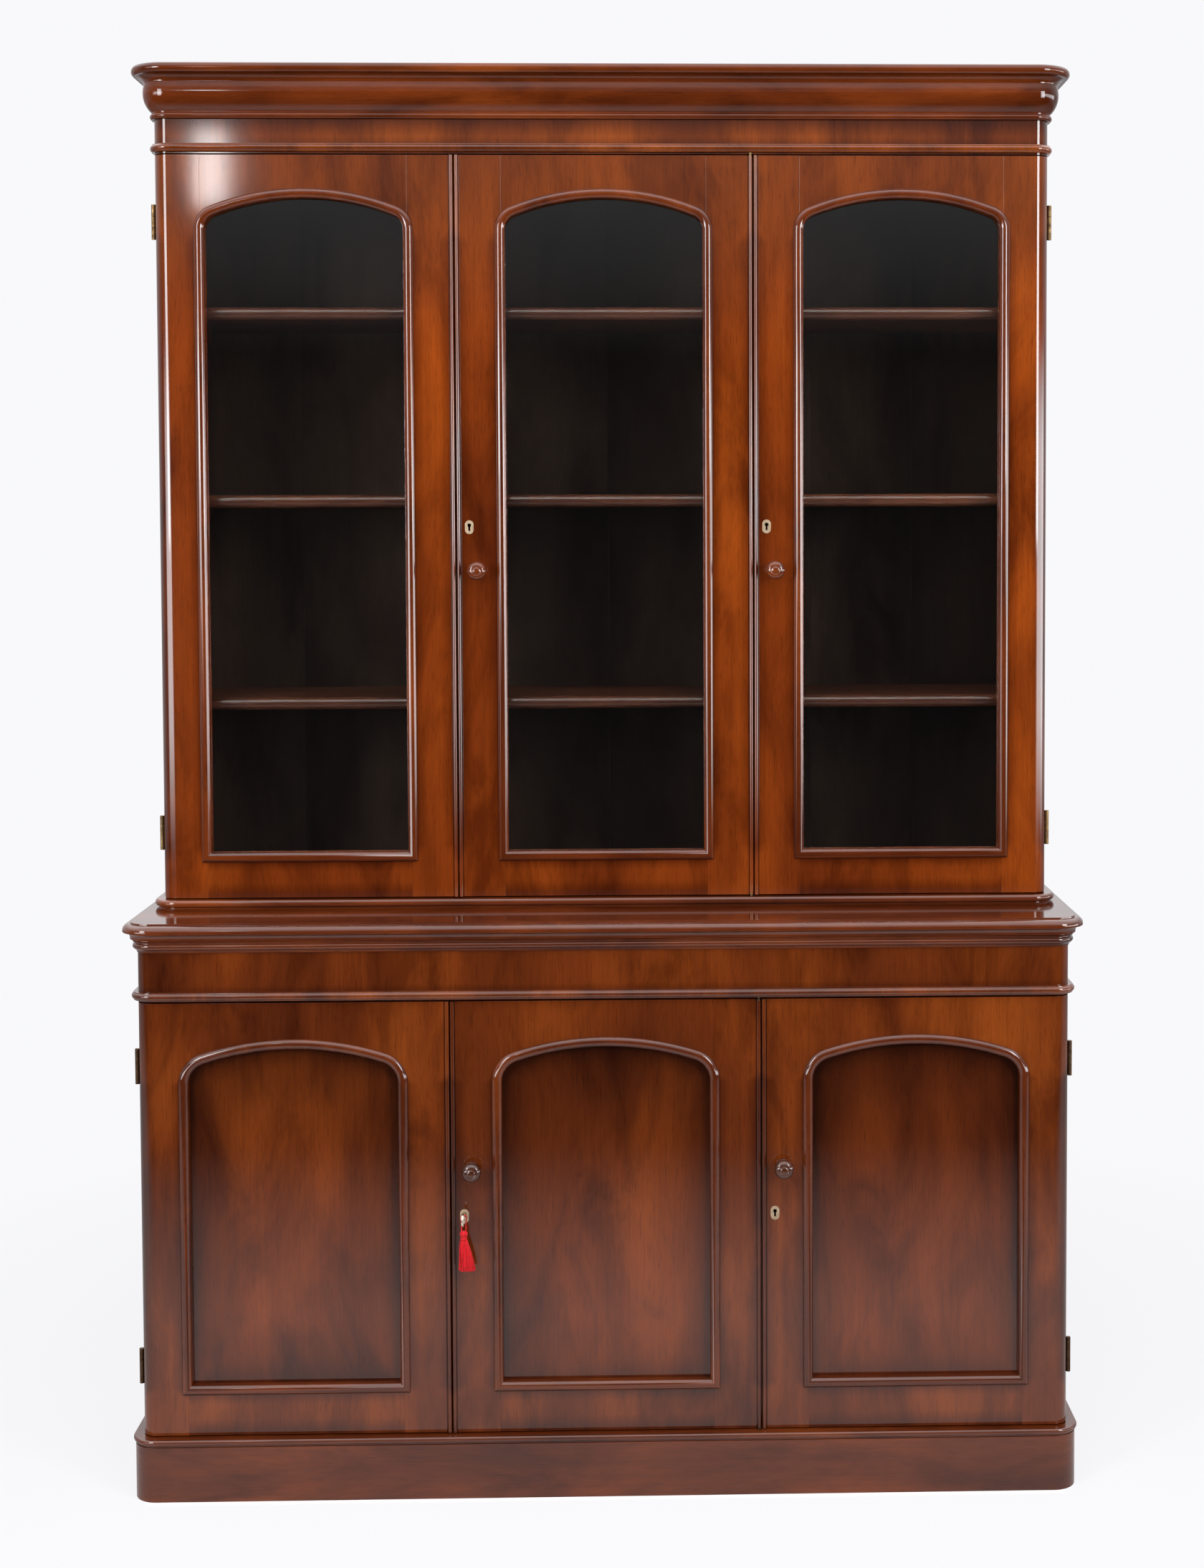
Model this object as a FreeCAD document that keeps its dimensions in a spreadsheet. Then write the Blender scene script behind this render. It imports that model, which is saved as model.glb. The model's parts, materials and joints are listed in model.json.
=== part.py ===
import FreeCAD, Part
import math
import os

import Sketcher

# A three-door library bookcase in two stages: a panelled base and a glazed upper case.
# Millimetres, +Z up. X = 0 is the middle, the doors face -Y, Z = 0 is the floor and
# Y = 0 is half way through the whole depth, from the bow of the key to the back.

DOC = FreeCAD.newDocument("library_bookcase")
SHEET = DOC.addObject("Spreadsheet::Sheet", "Sizes")

SIZES = {
    # outside of the two stages
    "base_width": 1580,
    "base_depth": 470,
    "case_inset": 15,
    "setback": 146,
    "corner_radius": 25,
    # base, from the floor up
    "plinth_height": 94,
    "plinth_reach": 15,
    "cap_height": 13,
    "cap_reach": 18.5,
    "base_door_height": 740,
    "base_frieze_height": 84,
    "base_bead_height": 14,
    "base_bead_reach": 11,
    "waist_mould_height": 22,
    "waist_mould_reach": 8.5,
    "waist_top_thick": 29,
    "waist_top_reach": 25,
    # upper case, from the waist up
    "foot_height": 15,
    "foot_reach": 17,
    "case_door_height": 1287,
    "case_frieze_height": 59,
    "case_bead_height": 14,
    "case_bead_reach": 8,
    "cornice_height": 73,
    "cornice_reach": 30,
    "cornice_top_thick": 16,
    "cornice_top_reach": 38,
    "bead_lift": 3,
    # boards
    "side_thick": 22,
    "board_thick": 20,
    "back_thick": 10,
    "housing_depth": 6,
    "wrap_depth": 22,
    "joint_fit": 0.2,
    # shelves
    "shelf_thick": 22,
    "shelf_recess": 18,
    "shelf_play": 1,
    "shelf_low": 327,
    "shelf_mid": 683,
    "shelf_high": 1011,
    "base_shelf_height": 360,
    "bearer_width": 14,
    "bearer_height": 22,
    "bearer_recess": 12,
    # doors
    "door_thick": 26,
    "door_gap": 2,
    "door_clear": 1,
    "stile_width": 80,
    "nib": 2,
    "case_rail": 73,
    "case_crown": 69,
    "case_rise": 58,
    "case_shoulder": 30,
    "base_rail": 80,
    "base_crown": 74,
    "base_rise": 64,
    "base_shoulder": 42,
    "tenon_length": 35,
    "tenon_thick": 9,
    "reed_radius": 3.5,
    "quirk_width": 1.2,
    "quirk_depth": 1.8,
    "mould_out": 12,
    "mould_in": 4.5,
    "mould_proud": 7,
    "mould_tongue": 10,
    "glass_thick": 3,
    "panel_thick": 8,
    "back_bead_width": 4.5,
    "back_bead_thick": 8,
    # butt hinges of the outer doors
    "hinge_inset": 112,
    "hinge_height": 60,
    "leaf_width": 18,
    "leaf_thick": 1.6,
    "leaf_play": 0.4,
    "knuckle_radius": 4,
    "knuckle_offset": 4.2,
    "knuckle_play": 0.4,
    "hinge_pin_radius": 1.6,
    "pin_fit": 0.04,
    # pivot hinges of the middle doors
    "pivot_thick": 2.5,
    "pivot_arm": 46,
    "pivot_width": 9,
    "pivot_radius": 3.2,
    "pivot_pin_radius": 1.8,
    "pivot_end_play": 0.3,
    # knobs, keyholes and locks
    "knob_inset": 36,
    "knob_radius": 16,
    "knob_length": 34,
    "knob_spigot": 5,
    "key_inset": 22,
    "case_knob_height": 570,
    "case_key_height": 649,
    "base_knob_height": 454,
    "base_key_height": 376,
    "plate_width": 15,
    "plate_height": 24,
    "plate_thick": 1.5,
    "plate_proud": 0.8,
    "keyhole_radius": 3.2,
    "keyhole_slot": 3.2,
    "keyhole_drop": 9.8,
    "lock_inset": 10.5,
    "lock_width": 40,
    "lock_height": 56,
    "lock_depth": 11,
    "lock_wall": 1.5,
    "bolt_height": 10,
    "bolt_thick": 6,
    "bolt_throw": 11,
    "bolt_rise": 7,
    "slide_fit": 0.3,
    # flush bolts of the left doors
    "flush_inset": 30,
    "flush_depth": 14,
    "flush_radius": 4,
    "flush_length": 90,
    "flush_throw": 14,
    "flush_play": 0.5,
    # key and tassel
    "stem_radius": 2.5,
    "stem_reach": 23,
    "bow_radius": 11,
    "bow_hole": 7.5,
    "bow_thick": 3.2,
    "bit_reach": 9,
    "bit_thick": 2.4,
    "bit_width": 5,
    "cord_radius": 0.9,
    "cord_fit": 0.3,
    "cord_drop": 24,
    "tassel_length": 92,
    "tassel_reach": 17,
    "tassel_head_radius": 7,
    "tassel_half_width": 15.5,
    "tassel_half_depth": 8,
}

for row, (alias, number) in enumerate(SIZES.items(), start=1):
    SHEET.set("A%d" % row, alias)
    SHEET.set("B%d" % row, str(number))
    SHEET.setAlias("B%d" % row, alias)
DOC.recompute()


class Size:
    """A number together with the sheet formula that it comes from."""

    def __init__(self, value, text):
        self.value = float(value)
        self.text = text

    def __add__(self, other):
        other = as_size(other)
        return Size(self.value + other.value, "(%s + %s)" % (self.text, other.text))

    def __radd__(self, other):
        return as_size(other) + self

    def __sub__(self, other):
        other = as_size(other)
        return Size(self.value - other.value, "(%s - %s)" % (self.text, other.text))

    def __rsub__(self, other):
        return as_size(other) - self

    def __mul__(self, other):
        other = as_size(other)
        return Size(self.value * other.value, "(%s * %s)" % (self.text, other.text))

    def __rmul__(self, other):
        return as_size(other) * self

    def __truediv__(self, other):
        other = as_size(other)
        return Size(self.value / other.value, "(%s / %s)" % (self.text, other.text))

    def __neg__(self):
        return Size(-self.value, "(0 - %s)" % self.text)


def as_size(number):
    if isinstance(number, Size):
        return number
    return Size(number, repr(float(number)))


class Sheet:
    """Gives each named size of the sheet as an attribute."""

    def __getattr__(self, alias):
        return Size(SHEET.get(alias), "Sizes.%s" % alias)


S = Sheet()


# Helpers that make document objects and bind them to the sheet

def bind(thing, prop, size):
    thing.setExpression(prop, as_size(size).text)


def place(thing, x=0, y=0, z=0):
    bind(thing, "Placement.Base.x", x)
    bind(thing, "Placement.Base.y", y)
    bind(thing, "Placement.Base.z", z)


def box(name, x, y, z):
    """A box between pairs of X, Y and Z."""
    thing = DOC.addObject("Part::Box", name)
    low = []
    for prop, (first, second) in zip(("Length", "Width", "Height"), (x, y, z)):
        first, second = as_size(first), as_size(second)
        if first.value > second.value:
            first, second = second, first
        bind(thing, prop, second - first)
        low.append(first)
    place(thing, *low)
    return thing


TURNS = {
    "X": FreeCAD.Rotation(FreeCAD.Vector(0, 1, 0), 90),
    "Y": FreeCAD.Rotation(FreeCAD.Vector(1, 0, 0), -90),
    "Z": FreeCAD.Rotation(),
}


def rod(name, radius, axis, start, length):
    """A cylinder along +axis from the point start."""
    thing = DOC.addObject("Part::Cylinder", name)
    thing.Placement = FreeCAD.Placement(FreeCAD.Vector(), TURNS[axis])
    bind(thing, "Radius", radius)
    bind(thing, "Height", length)
    place(thing, *start)
    return thing


def fuse(name, things):
    if len(things) == 1:
        return things[0]
    thing = DOC.addObject("Part::MultiFuse", name)
    thing.Shapes = things
    return thing


def group(name, things):
    """Separate solids kept side by side under one name."""
    thing = DOC.addObject("Part::Compound", name)
    thing.Links = things
    return thing


def cut(name, base, tools):
    if not tools:
        return base
    thing = DOC.addObject("Part::Cut", name)
    thing.Base = base
    thing.Tool = tools[0] if len(tools) == 1 else group(name + "_tools", tools)
    return thing


def new_body(name):
    return DOC.addObject("PartDesign::Body", name)


def new_sketch(body, plane, name):
    sketch = body.newObject("Sketcher::SketchObject", name)
    origin = [item for item in body.Origin.OriginFeatures if item.Role == plane][0]
    sketch.AttachmentSupport = [(origin, "")]
    sketch.MapMode = "FlatFace"
    return sketch


def fix(sketch, geometry, position, x, y):
    """Holds one point of the sketch at X and Y."""
    for kind, size in (("DistanceX", as_size(x)), ("DistanceY", as_size(y))):
        index = sketch.addConstraint(Sketcher.Constraint(kind, -1, 1, geometry, position, size.value))
        sketch.setExpression("Constraints[%d]" % index, size.text)


def arc_between(start, end, radius, turn):
    """An arc from start to end; turn is 1 with its centre on the left and -1 on the right."""
    chord = end - start
    left = FreeCAD.Vector(-chord.y, chord.x, 0).normalize()
    rise = math.sqrt(max(radius ** 2 - (chord.Length / 2) ** 2, 0))
    centre = (start + end) / 2 + left * rise * turn
    first, last = (start, end) if turn > 0 else (end, start)
    begin = math.atan2(first.y - centre.y, first.x - centre.x)
    finish = math.atan2(last.y - centre.y, last.x - centre.x)
    circle = Part.Circle(centre, FreeCAD.Vector(0, 0, 1), radius)
    return Part.ArcOfCircle(circle, begin, finish)


def draw(sketch, points, closed=True):
    """Draws an outline. A point is (x, y), or (x, y, radius, turn) where an arc leaves it."""
    spots = [FreeCAD.Vector(as_size(p[0]).value, as_size(p[1]).value, 0) for p in points]
    count = len(points) if closed else len(points) - 1
    ends = []
    for i in range(count):
        start, end = spots[i], spots[(i + 1) % len(spots)]
        if len(points[i]) == 2:
            index = sketch.addGeometry(Part.LineSegment(start, end), False)
            ends.append((index, 1, 2))
        else:
            radius, turn = as_size(points[i][2]), points[i][3]
            index = sketch.addGeometry(arc_between(start, end, radius.value, turn), False)
            ends.append((index, 1, 2) if turn > 0 else (index, 2, 1))
    for i in range(count):
        after = (i + 1) % count
        if closed or after > i:
            sketch.addConstraint(Sketcher.Constraint("Coincident", ends[i][0], ends[i][2],
                                                     ends[after][0], ends[after][1]))
        fix(sketch, ends[i][0], ends[i][1], points[i][0], points[i][1])
        if len(points[i]) > 2:
            radius = as_size(points[i][2])
            index = sketch.addConstraint(Sketcher.Constraint("Radius", ends[i][0], radius.value))
            sketch.setExpression("Constraints[%d]" % index, radius.text)
    if not closed:
        fix(sketch, ends[-1][0], ends[-1][2], points[-1][0], points[-1][1])


def padded(name, plane, loops, length, at=(0, 0, 0)):
    """A body padded from its outline: along +Z from a plan, along +Y from a front view."""
    body = new_body(name)
    sketch = new_sketch(body, plane, name + "_outline")
    for loop in loops:
        draw(sketch, loop)
    pad = body.newObject("PartDesign::Pad", name + "_pad")
    pad.Profile = sketch
    pad.Reversed = plane == "XZ_Plane"
    bind(pad, "Length", length)
    place(body, *at)
    return body


def swept(name, path_plane, path, profile_plane, profile, closed, at=(0, 0, 0)):
    """A body with its profile carried along a path, with mitred corners."""
    body = new_body(name)
    track = new_sketch(body, path_plane, name + "_path")
    draw(track, path, closed)
    section = new_sketch(body, profile_plane, name + "_section")
    draw(section, profile)
    pipe = body.newObject("PartDesign::AdditivePipe", name + "_pipe")
    pipe.Profile = section
    pipe.Spine = track
    pipe.Transition = "Right corner"
    place(body, *at)
    return body


def turned(name, profile, at):
    """A body turned about the Y axis from half of its section, drawn as radius and Y."""
    body = new_body(name)
    sketch = new_sketch(body, "XY_Plane", name + "_section")
    draw(sketch, profile)
    turn = body.newObject("PartDesign::Revolution", name + "_turn")
    turn.Profile = sketch
    turn.ReferenceAxis = (sketch, ["V_Axis"])
    turn.Angle = 360
    place(body, *at)
    return body


NODES = {}


def node(name, things):
    """Names one finished sub-part."""
    thing = things[0] if len(things) == 1 else group(name, things)
    thing.Label = name
    NODES[name] = thing
    return thing


# Levels and planes shared by the whole piece

BASE_WIDTH = S.base_width
CASE_WIDTH = S.base_width - 2 * S.case_inset
KEY_REACH = S.stem_reach + 2 * S.bow_radius
BACK = (S.base_depth + KEY_REACH) / 2
BASE_FACE = BACK - S.base_depth
CASE_FACE = BASE_FACE + S.setback
WALL = S.door_thick + S.door_clear

CAP_Z = S.plinth_height
BASE_Z = CAP_Z + S.cap_height
BASE_DOOR_Z = BASE_Z + S.door_gap
BASE_FRIEZE_Z = BASE_DOOR_Z + S.base_door_height + S.door_gap
WAIST_MOULD_Z = BASE_FRIEZE_Z + S.base_frieze_height
WAIST_TOP_Z = WAIST_MOULD_Z + S.waist_mould_height
FOOT_Z = WAIST_TOP_Z + S.waist_top_thick
CASE_Z = FOOT_Z + S.foot_height
CASE_DOOR_Z = CASE_Z + S.door_gap
CASE_FRIEZE_Z = CASE_DOOR_Z + S.case_door_height + S.door_gap
CORNICE_Z = CASE_FRIEZE_Z + S.case_frieze_height
CORNICE_TOP_Z = CORNICE_Z + S.cornice_height


# Mouldings that run round the front and both ends

def wrap_path(width, face, out=0):
    """The plan line round the two ends and the front, at a reach out from the carcass."""
    half = width / 2 + out
    front = face - out
    radius = S.corner_radius + out
    return [(-half, BACK), (-half, front + radius, radius, 1), (radius - half, front),
            (half - radius, front, radius, 1), (half, front + radius), (half, BACK)]


def wrapped(name, width, face, level, profile):
    """Carries a profile of (reach, height) pairs round the carcass."""
    # Reach runs towards the front, against Y, so each arc turns the other way in the sketch
    section = [(face - p[0], p[1]) + ((p[2], -p[3]) if len(p) > 2 else ()) for p in profile]
    return swept(name, "XY_Plane", wrap_path(width, face), "YZ_Plane", section, False, (0, 0, level))


# A round is one arc over a flat chord: its radius and its rise as shares of the chord
ROUND_RADIUS = 0.58
ROUND_RISE = 0.286


def bead_profile(reach, height):
    """A rounded bead between two fillets."""
    fillet = height * 0.1
    chord = height - 2 * fillet
    nose = reach - ROUND_RISE * chord
    return [(0, 0), (nose, 0), (nose, fillet, ROUND_RADIUS * chord, 1), (nose, height - fillet), (nose, height),
            (0, height)]


def nosed_profile(inner, reach, height, nose):
    """A flat frame with a rounded nose above a small fillet."""
    start = reach - ROUND_RISE * nose
    low = height - nose
    return [(-inner, 0), (start - nose / 4, 0), (start - nose / 4, low), (start, low, ROUND_RADIUS * nose, 1),
            (start, height), (-inner, height)]


cornice_low = 0.14 * S.cornice_height
cornice_quirk = 0.17 * S.cornice_height
cornice_cove = 0.18 * S.cornice_height
cornice_swell = S.cornice_height - cornice_cove
swell_low = 0.15 * S.cornice_reach
swell_high = S.cornice_reach - cornice_cove
cornice_section = [
    (-S.wrap_depth, 0), (swell_low, 0, ROUND_RADIUS * cornice_low, 1), (swell_low, cornice_low),
    (swell_low, cornice_quirk, 0.62 * S.cornice_height, 1),
    (swell_high, cornice_swell, cornice_cove, -1),
    (S.cornice_reach, S.cornice_height), (-S.wrap_depth, S.cornice_height)]

waist_bead = 0.46 * S.waist_mould_height
waist_nose = S.waist_mould_reach - ROUND_RISE * waist_bead
waist_low = 0.26 * S.waist_mould_height
waist_section = [
    (0, 0), (0.2 * S.waist_mould_reach, 0), (0.2 * S.waist_mould_reach, 0.12 * S.waist_mould_height),
    (waist_nose, waist_low, ROUND_RADIUS * waist_bead, 1), (waist_nose, waist_low + waist_bead),
    (waist_nose, 0.82 * S.waist_mould_height), (S.waist_mould_reach, 0.82 * S.waist_mould_height),
    (S.waist_mould_reach, S.waist_mould_height), (0, S.waist_mould_height)]

# The waist top: a board with a fillet, a thumb moulding and a cove under it
thumb = 0.37 * S.waist_top_thick
fillet = 0.1 * S.waist_top_thick
thumb_low = S.waist_top_thick - fillet - thumb
cove = 0.36 * S.waist_top_thick
edge_flat = 0.1 * S.waist_top_thick
board_edge = 0.25 * S.waist_top_reach
waist_top_section = [
    (board_edge - 2, 0), (S.waist_top_reach - cove - 2, 0),
    (S.waist_top_reach - cove - 2, thumb_low - edge_flat - cove, cove, -1),
    (S.waist_top_reach - 2, thumb_low - edge_flat), (S.waist_top_reach, thumb_low - edge_flat),
    (S.waist_top_reach, thumb_low, thumb, 1), (S.waist_top_reach - thumb, thumb_low + thumb),
    (S.waist_top_reach - thumb - fillet, thumb_low + thumb),
    (S.waist_top_reach - thumb - fillet, S.waist_top_thick), (board_edge - 2, S.waist_top_thick)]

cornice_nose = S.cornice_top_reach - ROUND_RISE * S.cornice_top_thick
cornice_top_section = [
    (S.cornice_top_reach / 3, 0), (cornice_nose, 0, ROUND_RADIUS * S.cornice_top_thick, 1),
    (cornice_nose, S.cornice_top_thick), (S.cornice_top_reach / 3, S.cornice_top_thick)]


def edged_board(name, width, face, level, section, inside, thick):
    """A board with a moulded edge carried round the front and both ends."""
    edge = wrapped(name + "_edge", width, face, level, section)
    core = padded(name + "_core", "XY_Plane", [wrap_path(width, face, inside)], thick, (0, 0, level))
    return fuse(name, [edge, core])


# Carcass parts

def bay_walls(width, thick):
    """X of the left wall, both faces of the partition and the right wall, inside one stage."""
    third = width / 6 + S.door_gap / 6
    half = S.board_thick / 2
    return (-width / 2 + thick, third - half, third + half, width / 2 - thick)


def carcass(stage, width, face, floor, roof, levels, frieze_z, frieze_height):
    """Makes the boards of one stage and returns those that still need holes cut in them."""
    half = width / 2
    front = face + WALL
    inner = BACK - S.back_thick
    walls = bay_walls(width, S.side_thick)
    floor_top = floor + S.board_thick
    roof_low = roof - S.board_thick
    tongue = S.housing_depth - S.joint_fit
    boards = {}
    across = (walls[0] - tongue, walls[3] + tongue)
    boards["bottom"] = box(stage + "_floor", across, (front, inner), (floor, floor_top))
    boards["top"] = box(stage + "_roof", across, (front, inner), (roof_low, roof))
    housings = []
    for name, low in (("floor", floor), ("roof", roof_low)):
        housings.append(box(stage + "_housing_" + name,
                            (walls[0] - S.housing_depth, walls[3] + S.housing_depth),
                            (front, inner), (low, low + S.board_thick)))
    rebate = box(stage + "_rebate", (walls[0] - S.back_thick, walls[3] + S.back_thick),
                 (inner, BACK), (floor, roof))
    shelves, bearers = [], []
    shelf_front = face + WALL + S.shelf_recess
    nose = S.shelf_thick / 2
    for number, level in enumerate(levels):
        low = floor + level
        for bay, (left, right) in enumerate((walls[0:2], walls[2:4])):
            name = "%s_shelf_%d%d" % (stage, number, bay)
            section = [(shelf_front + nose, 0), (inner - S.shelf_play, 0),
                       (inner - S.shelf_play, S.shelf_thick),
                       (shelf_front + nose, S.shelf_thick, nose, 1), (shelf_front, nose, nose, 1)]
            body = new_body(name)
            sketch = new_sketch(body, "YZ_Plane", name + "_section")
            draw(sketch, section)
            pad = body.newObject("PartDesign::Pad", name + "_pad")
            pad.Profile = sketch
            bind(pad, "Length", right - left - 2 * S.shelf_play)
            place(body, left + S.shelf_play, 0, low)
            shelves.append(body)
            for end, wall, way in (("left", left, 1), ("right", right, -1)):
                bearers.append(box("%s_%s_bearer" % (name, end), (wall, wall + way * S.bearer_width),
                                   (shelf_front + S.bearer_recess, inner), (low - S.bearer_height, low)))
    boards["left"] = box(stage + "_left", (-half, walls[0]), (front, BACK), (floor, roof))
    boards["right"] = box(stage + "_right", (walls[3], half), (front, BACK), (floor, roof))
    boards["partition"] = box(stage + "_divider", walls[1:3], (front, inner), (floor_top, roof_low))
    plan = [(-half, face + WALL), (-half, face + S.corner_radius, S.corner_radius, 1),
            (S.corner_radius - half, face), (half - S.corner_radius, face, S.corner_radius, 1),
            (half, face + S.corner_radius), (half, face + WALL)]
    boards["frieze"] = padded(stage + "_frieze_board", "XY_Plane", [plan], frieze_height, (0, 0, frieze_z))
    backs = []
    count = 8
    span = (walls[3] - walls[0] + 2 * S.back_thick) / count
    for number in range(count):
        left = walls[0] - S.back_thick + span * number
        backs.append(box("%s_back_%d" % (stage, number), (left + S.joint_fit, left + span - S.joint_fit),
                         (inner, BACK), (floor, roof)))
    return boards, housings + [rebate], shelves, bearers, backs


base_levels = [S.base_shelf_height]
case_levels = [S.shelf_low, S.shelf_mid, S.shelf_high]
base_parts = carcass("base", BASE_WIDTH, BASE_FACE, BASE_Z, WAIST_TOP_Z, base_levels,
                     BASE_FRIEZE_Z, S.base_frieze_height + S.waist_mould_height)
case_parts = carcass("case", CASE_WIDTH, CASE_FACE, CASE_Z, CORNICE_Z, case_levels,
                     CASE_FRIEZE_Z, S.case_frieze_height)


# Doors

STAGES = {
    "lower": {"width": BASE_WIDTH, "face": BASE_FACE, "z": BASE_DOOR_Z, "height": S.base_door_height,
              "rail": S.base_rail, "crown": S.base_crown, "rise": S.base_rise, "shoulder": S.base_shoulder,
              "fill": S.panel_thick, "knob": S.base_knob_height, "key": S.base_key_height},
    "upper": {"width": CASE_WIDTH, "face": CASE_FACE, "z": CASE_DOOR_Z, "height": S.case_door_height,
              "rail": S.case_rail, "crown": S.case_crown, "rise": S.case_rise, "shoulder": S.case_shoulder,
              "fill": S.glass_thick, "knob": S.case_knob_height, "key": S.case_key_height},
}
FIXED = []
SIDE_CUTS = {"base_left": [], "base_right": [], "case_left": [], "case_right": []}
CARCASS_CUTS = {"lower_top": [], "lower_bottom": [], "upper_top": [], "upper_bottom": [],
                "lower_partition": [], "upper_partition": []}


def arch_points(stage, width, inset=0):
    """The three-centred arched outline about the door's middle, set in by inset."""
    half = width / 2 - S.stile_width - S.nib - inset
    foot = stage["rail"] + S.nib + inset
    shoulder = stage["shoulder"] - inset
    rise = stage["rise"] - inset
    spring = stage["height"] - stage["crown"] - stage["rise"]
    reach = half - shoulder
    lift = rise - shoulder
    drop = (reach * reach - lift * lift) / (2 * lift)
    top = rise + drop
    share = top / (top - shoulder)
    return {"half": half, "foot": foot, "spring": spring, "shoulder": shoulder, "top": top,
            "side_x": share * reach, "side_z": spring - drop + share * drop}


def arch_outline(stage, width, inset=0):
    """The arched outline as one loop that starts at its lower left corner."""
    a = arch_points(stage, width, inset)
    return [(-a["half"], a["foot"]), (a["half"], a["foot"]), (a["half"], a["spring"], a["shoulder"], 1),
            (a["side_x"], a["side_z"], a["top"], 1), (-a["side_x"], a["side_z"], a["shoulder"], 1),
            (-a["half"], a["spring"])]


def stile_plan(width, side, kind):
    """Plan of a stile about the door's middle: a rounded outer edge or a reeded meeting edge."""
    edge = width / 2
    thick = S.door_thick
    if kind == "outer":
        radius = S.corner_radius
        plan = [(edge, thick), (edge - S.stile_width, thick), (edge - S.stile_width, 0),
                (edge - radius, 0, radius, 1), (edge, radius)]
    else:
        reed = S.reed_radius
        quirk = edge - 2 * reed - S.quirk_width
        plan = [(edge, thick), (edge - S.stile_width, thick), (edge - S.stile_width, 0), (quirk, 0),
                (quirk, S.quirk_depth), (edge - 2 * reed, S.quirk_depth), (edge - 2 * reed, 0, reed, 1),
                (edge - reed, -reed, reed, 1), (edge, 0)]
    if side > 0:
        return plan
    return mirrored(plan)


def mirrored(points):
    """The same closed outline reflected in X, with its arcs kept on the right segments."""
    flipped = []
    count = len(points)
    for i in range(count - 1, -1, -1):
        before = points[i - 1]
        spot = (-as_size(points[i][0]), points[i][1])
        flipped.append(spot + ((before[2], before[3]) if len(before) > 2 else ()))
    return flipped


def door_frame(name, stage, width, kinds, at, cuts, handles):
    """Two stiles and two rails, tenoned together, with the knob if the door has one."""
    high, rail, thick = stage["height"], stage["rail"], S.door_thick
    inner = width / 2 - S.stile_width
    arch = arch_points(stage, width)
    middle = thick / 2
    cheek = (at[1] + middle - S.tenon_thick / 2, at[1] + middle + S.tenon_thick / 2)
    low_tenon = (at[2] + 0.15 * rail, at[2] + 0.85 * rail)
    high_tenon = (at[2] + arch["spring"] + 0.3 * stage["rise"], at[2] + high - 0.2 * stage["crown"])
    solids = []
    for side, kind in ((-1, kinds[0]), (1, kinds[1])):
        tag = "%s_stile_%s" % (name, "left" if side < 0 else "right")
        blank = padded(tag + "_blank", "XY_Plane", [stile_plan(width, side, kind)], high, at)
        tools = list(cuts.get(side, []))
        for rail_tag, span in (("low", low_tenon), ("high", high_tenon)):
            tools.append(box("%s_mortise_%s" % (tag, rail_tag),
                             (at[0] + side * inner, at[0] + side * (inner + S.tenon_length + S.joint_fit)),
                             cheek, span))
        solids.append(cut(tag, blank, tools))
    tenon_span = (at[0] - inner - S.tenon_length, at[0] + inner + S.tenon_length)
    low = box(name + "_low_bar", (at[0] - inner, at[0] + inner), (at[1], at[1] + thick),
              (at[2], at[2] + rail))
    solids.append(fuse(name + "_low_rail", [low, box(name + "_low_tenon", tenon_span, cheek, low_tenon)]))
    front = [(inner, high), (-inner, high), (-inner, arch["spring"]),
             (-arch["half"], arch["spring"], arch["shoulder"], -1),
             (-arch["side_x"], arch["side_z"], arch["top"], -1),
             (arch["side_x"], arch["side_z"], arch["shoulder"], -1),
             (arch["half"], arch["spring"]), (inner, arch["spring"])]
    crown = padded(name + "_crown", "XZ_Plane", [front], thick, at)
    # The tenons of the arched rail stay in its horns, clear of the opening
    stubs = [crown]
    for side in (-1, 1):
        stubs.append(box("%s_high_tenon_%d" % (name, side + 1),
                         (at[0] + side * (inner - 0.02 * S.nib), at[0] + side * (inner + S.tenon_length)),
                         cheek, high_tenon))
    solids.append(fuse(name + "_high_rail", stubs))
    return node(name + "_frame", solids + handles)


def door_fill(name, stage, width, at, fill_name):
    """The raised moulding, the pane or panel behind it and the beads that hold that in."""
    out, lip, proud, tongue = S.mould_out, S.mould_in, S.mould_proud, S.mould_tongue
    foot = arch_points(stage, width)["foot"]
    section = [(0, foot - out), (0, foot + S.joint_fit), (tongue, foot + S.joint_fit), (tongue, foot + lip),
               (-0.2 * proud, foot + lip, 0.56 * (out + lip), 1), (-0.3 * proud, foot - out)]
    mould = swept(name + "_front_mould", "XZ_Plane", arch_outline(stage, width),
                  "YZ_Plane", section, True, at)
    pane_y = at[1] + tongue
    bead_y = pane_y + stage["fill"]
    pane = padded(name + "_pane", "XZ_Plane", [arch_outline(stage, width, S.door_clear)], stage["fill"],
                  (at[0], pane_y, at[2]))
    ring = padded(name + "_back_bead", "XZ_Plane",
                  [arch_outline(stage, width, S.joint_fit), arch_outline(stage, width, S.back_bead_width)],
                  S.back_bead_thick, (at[0], bead_y, at[2]))
    node(name + "_mouldings", [mould, ring])
    node(name + "_" + fill_name, [pane])


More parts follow.
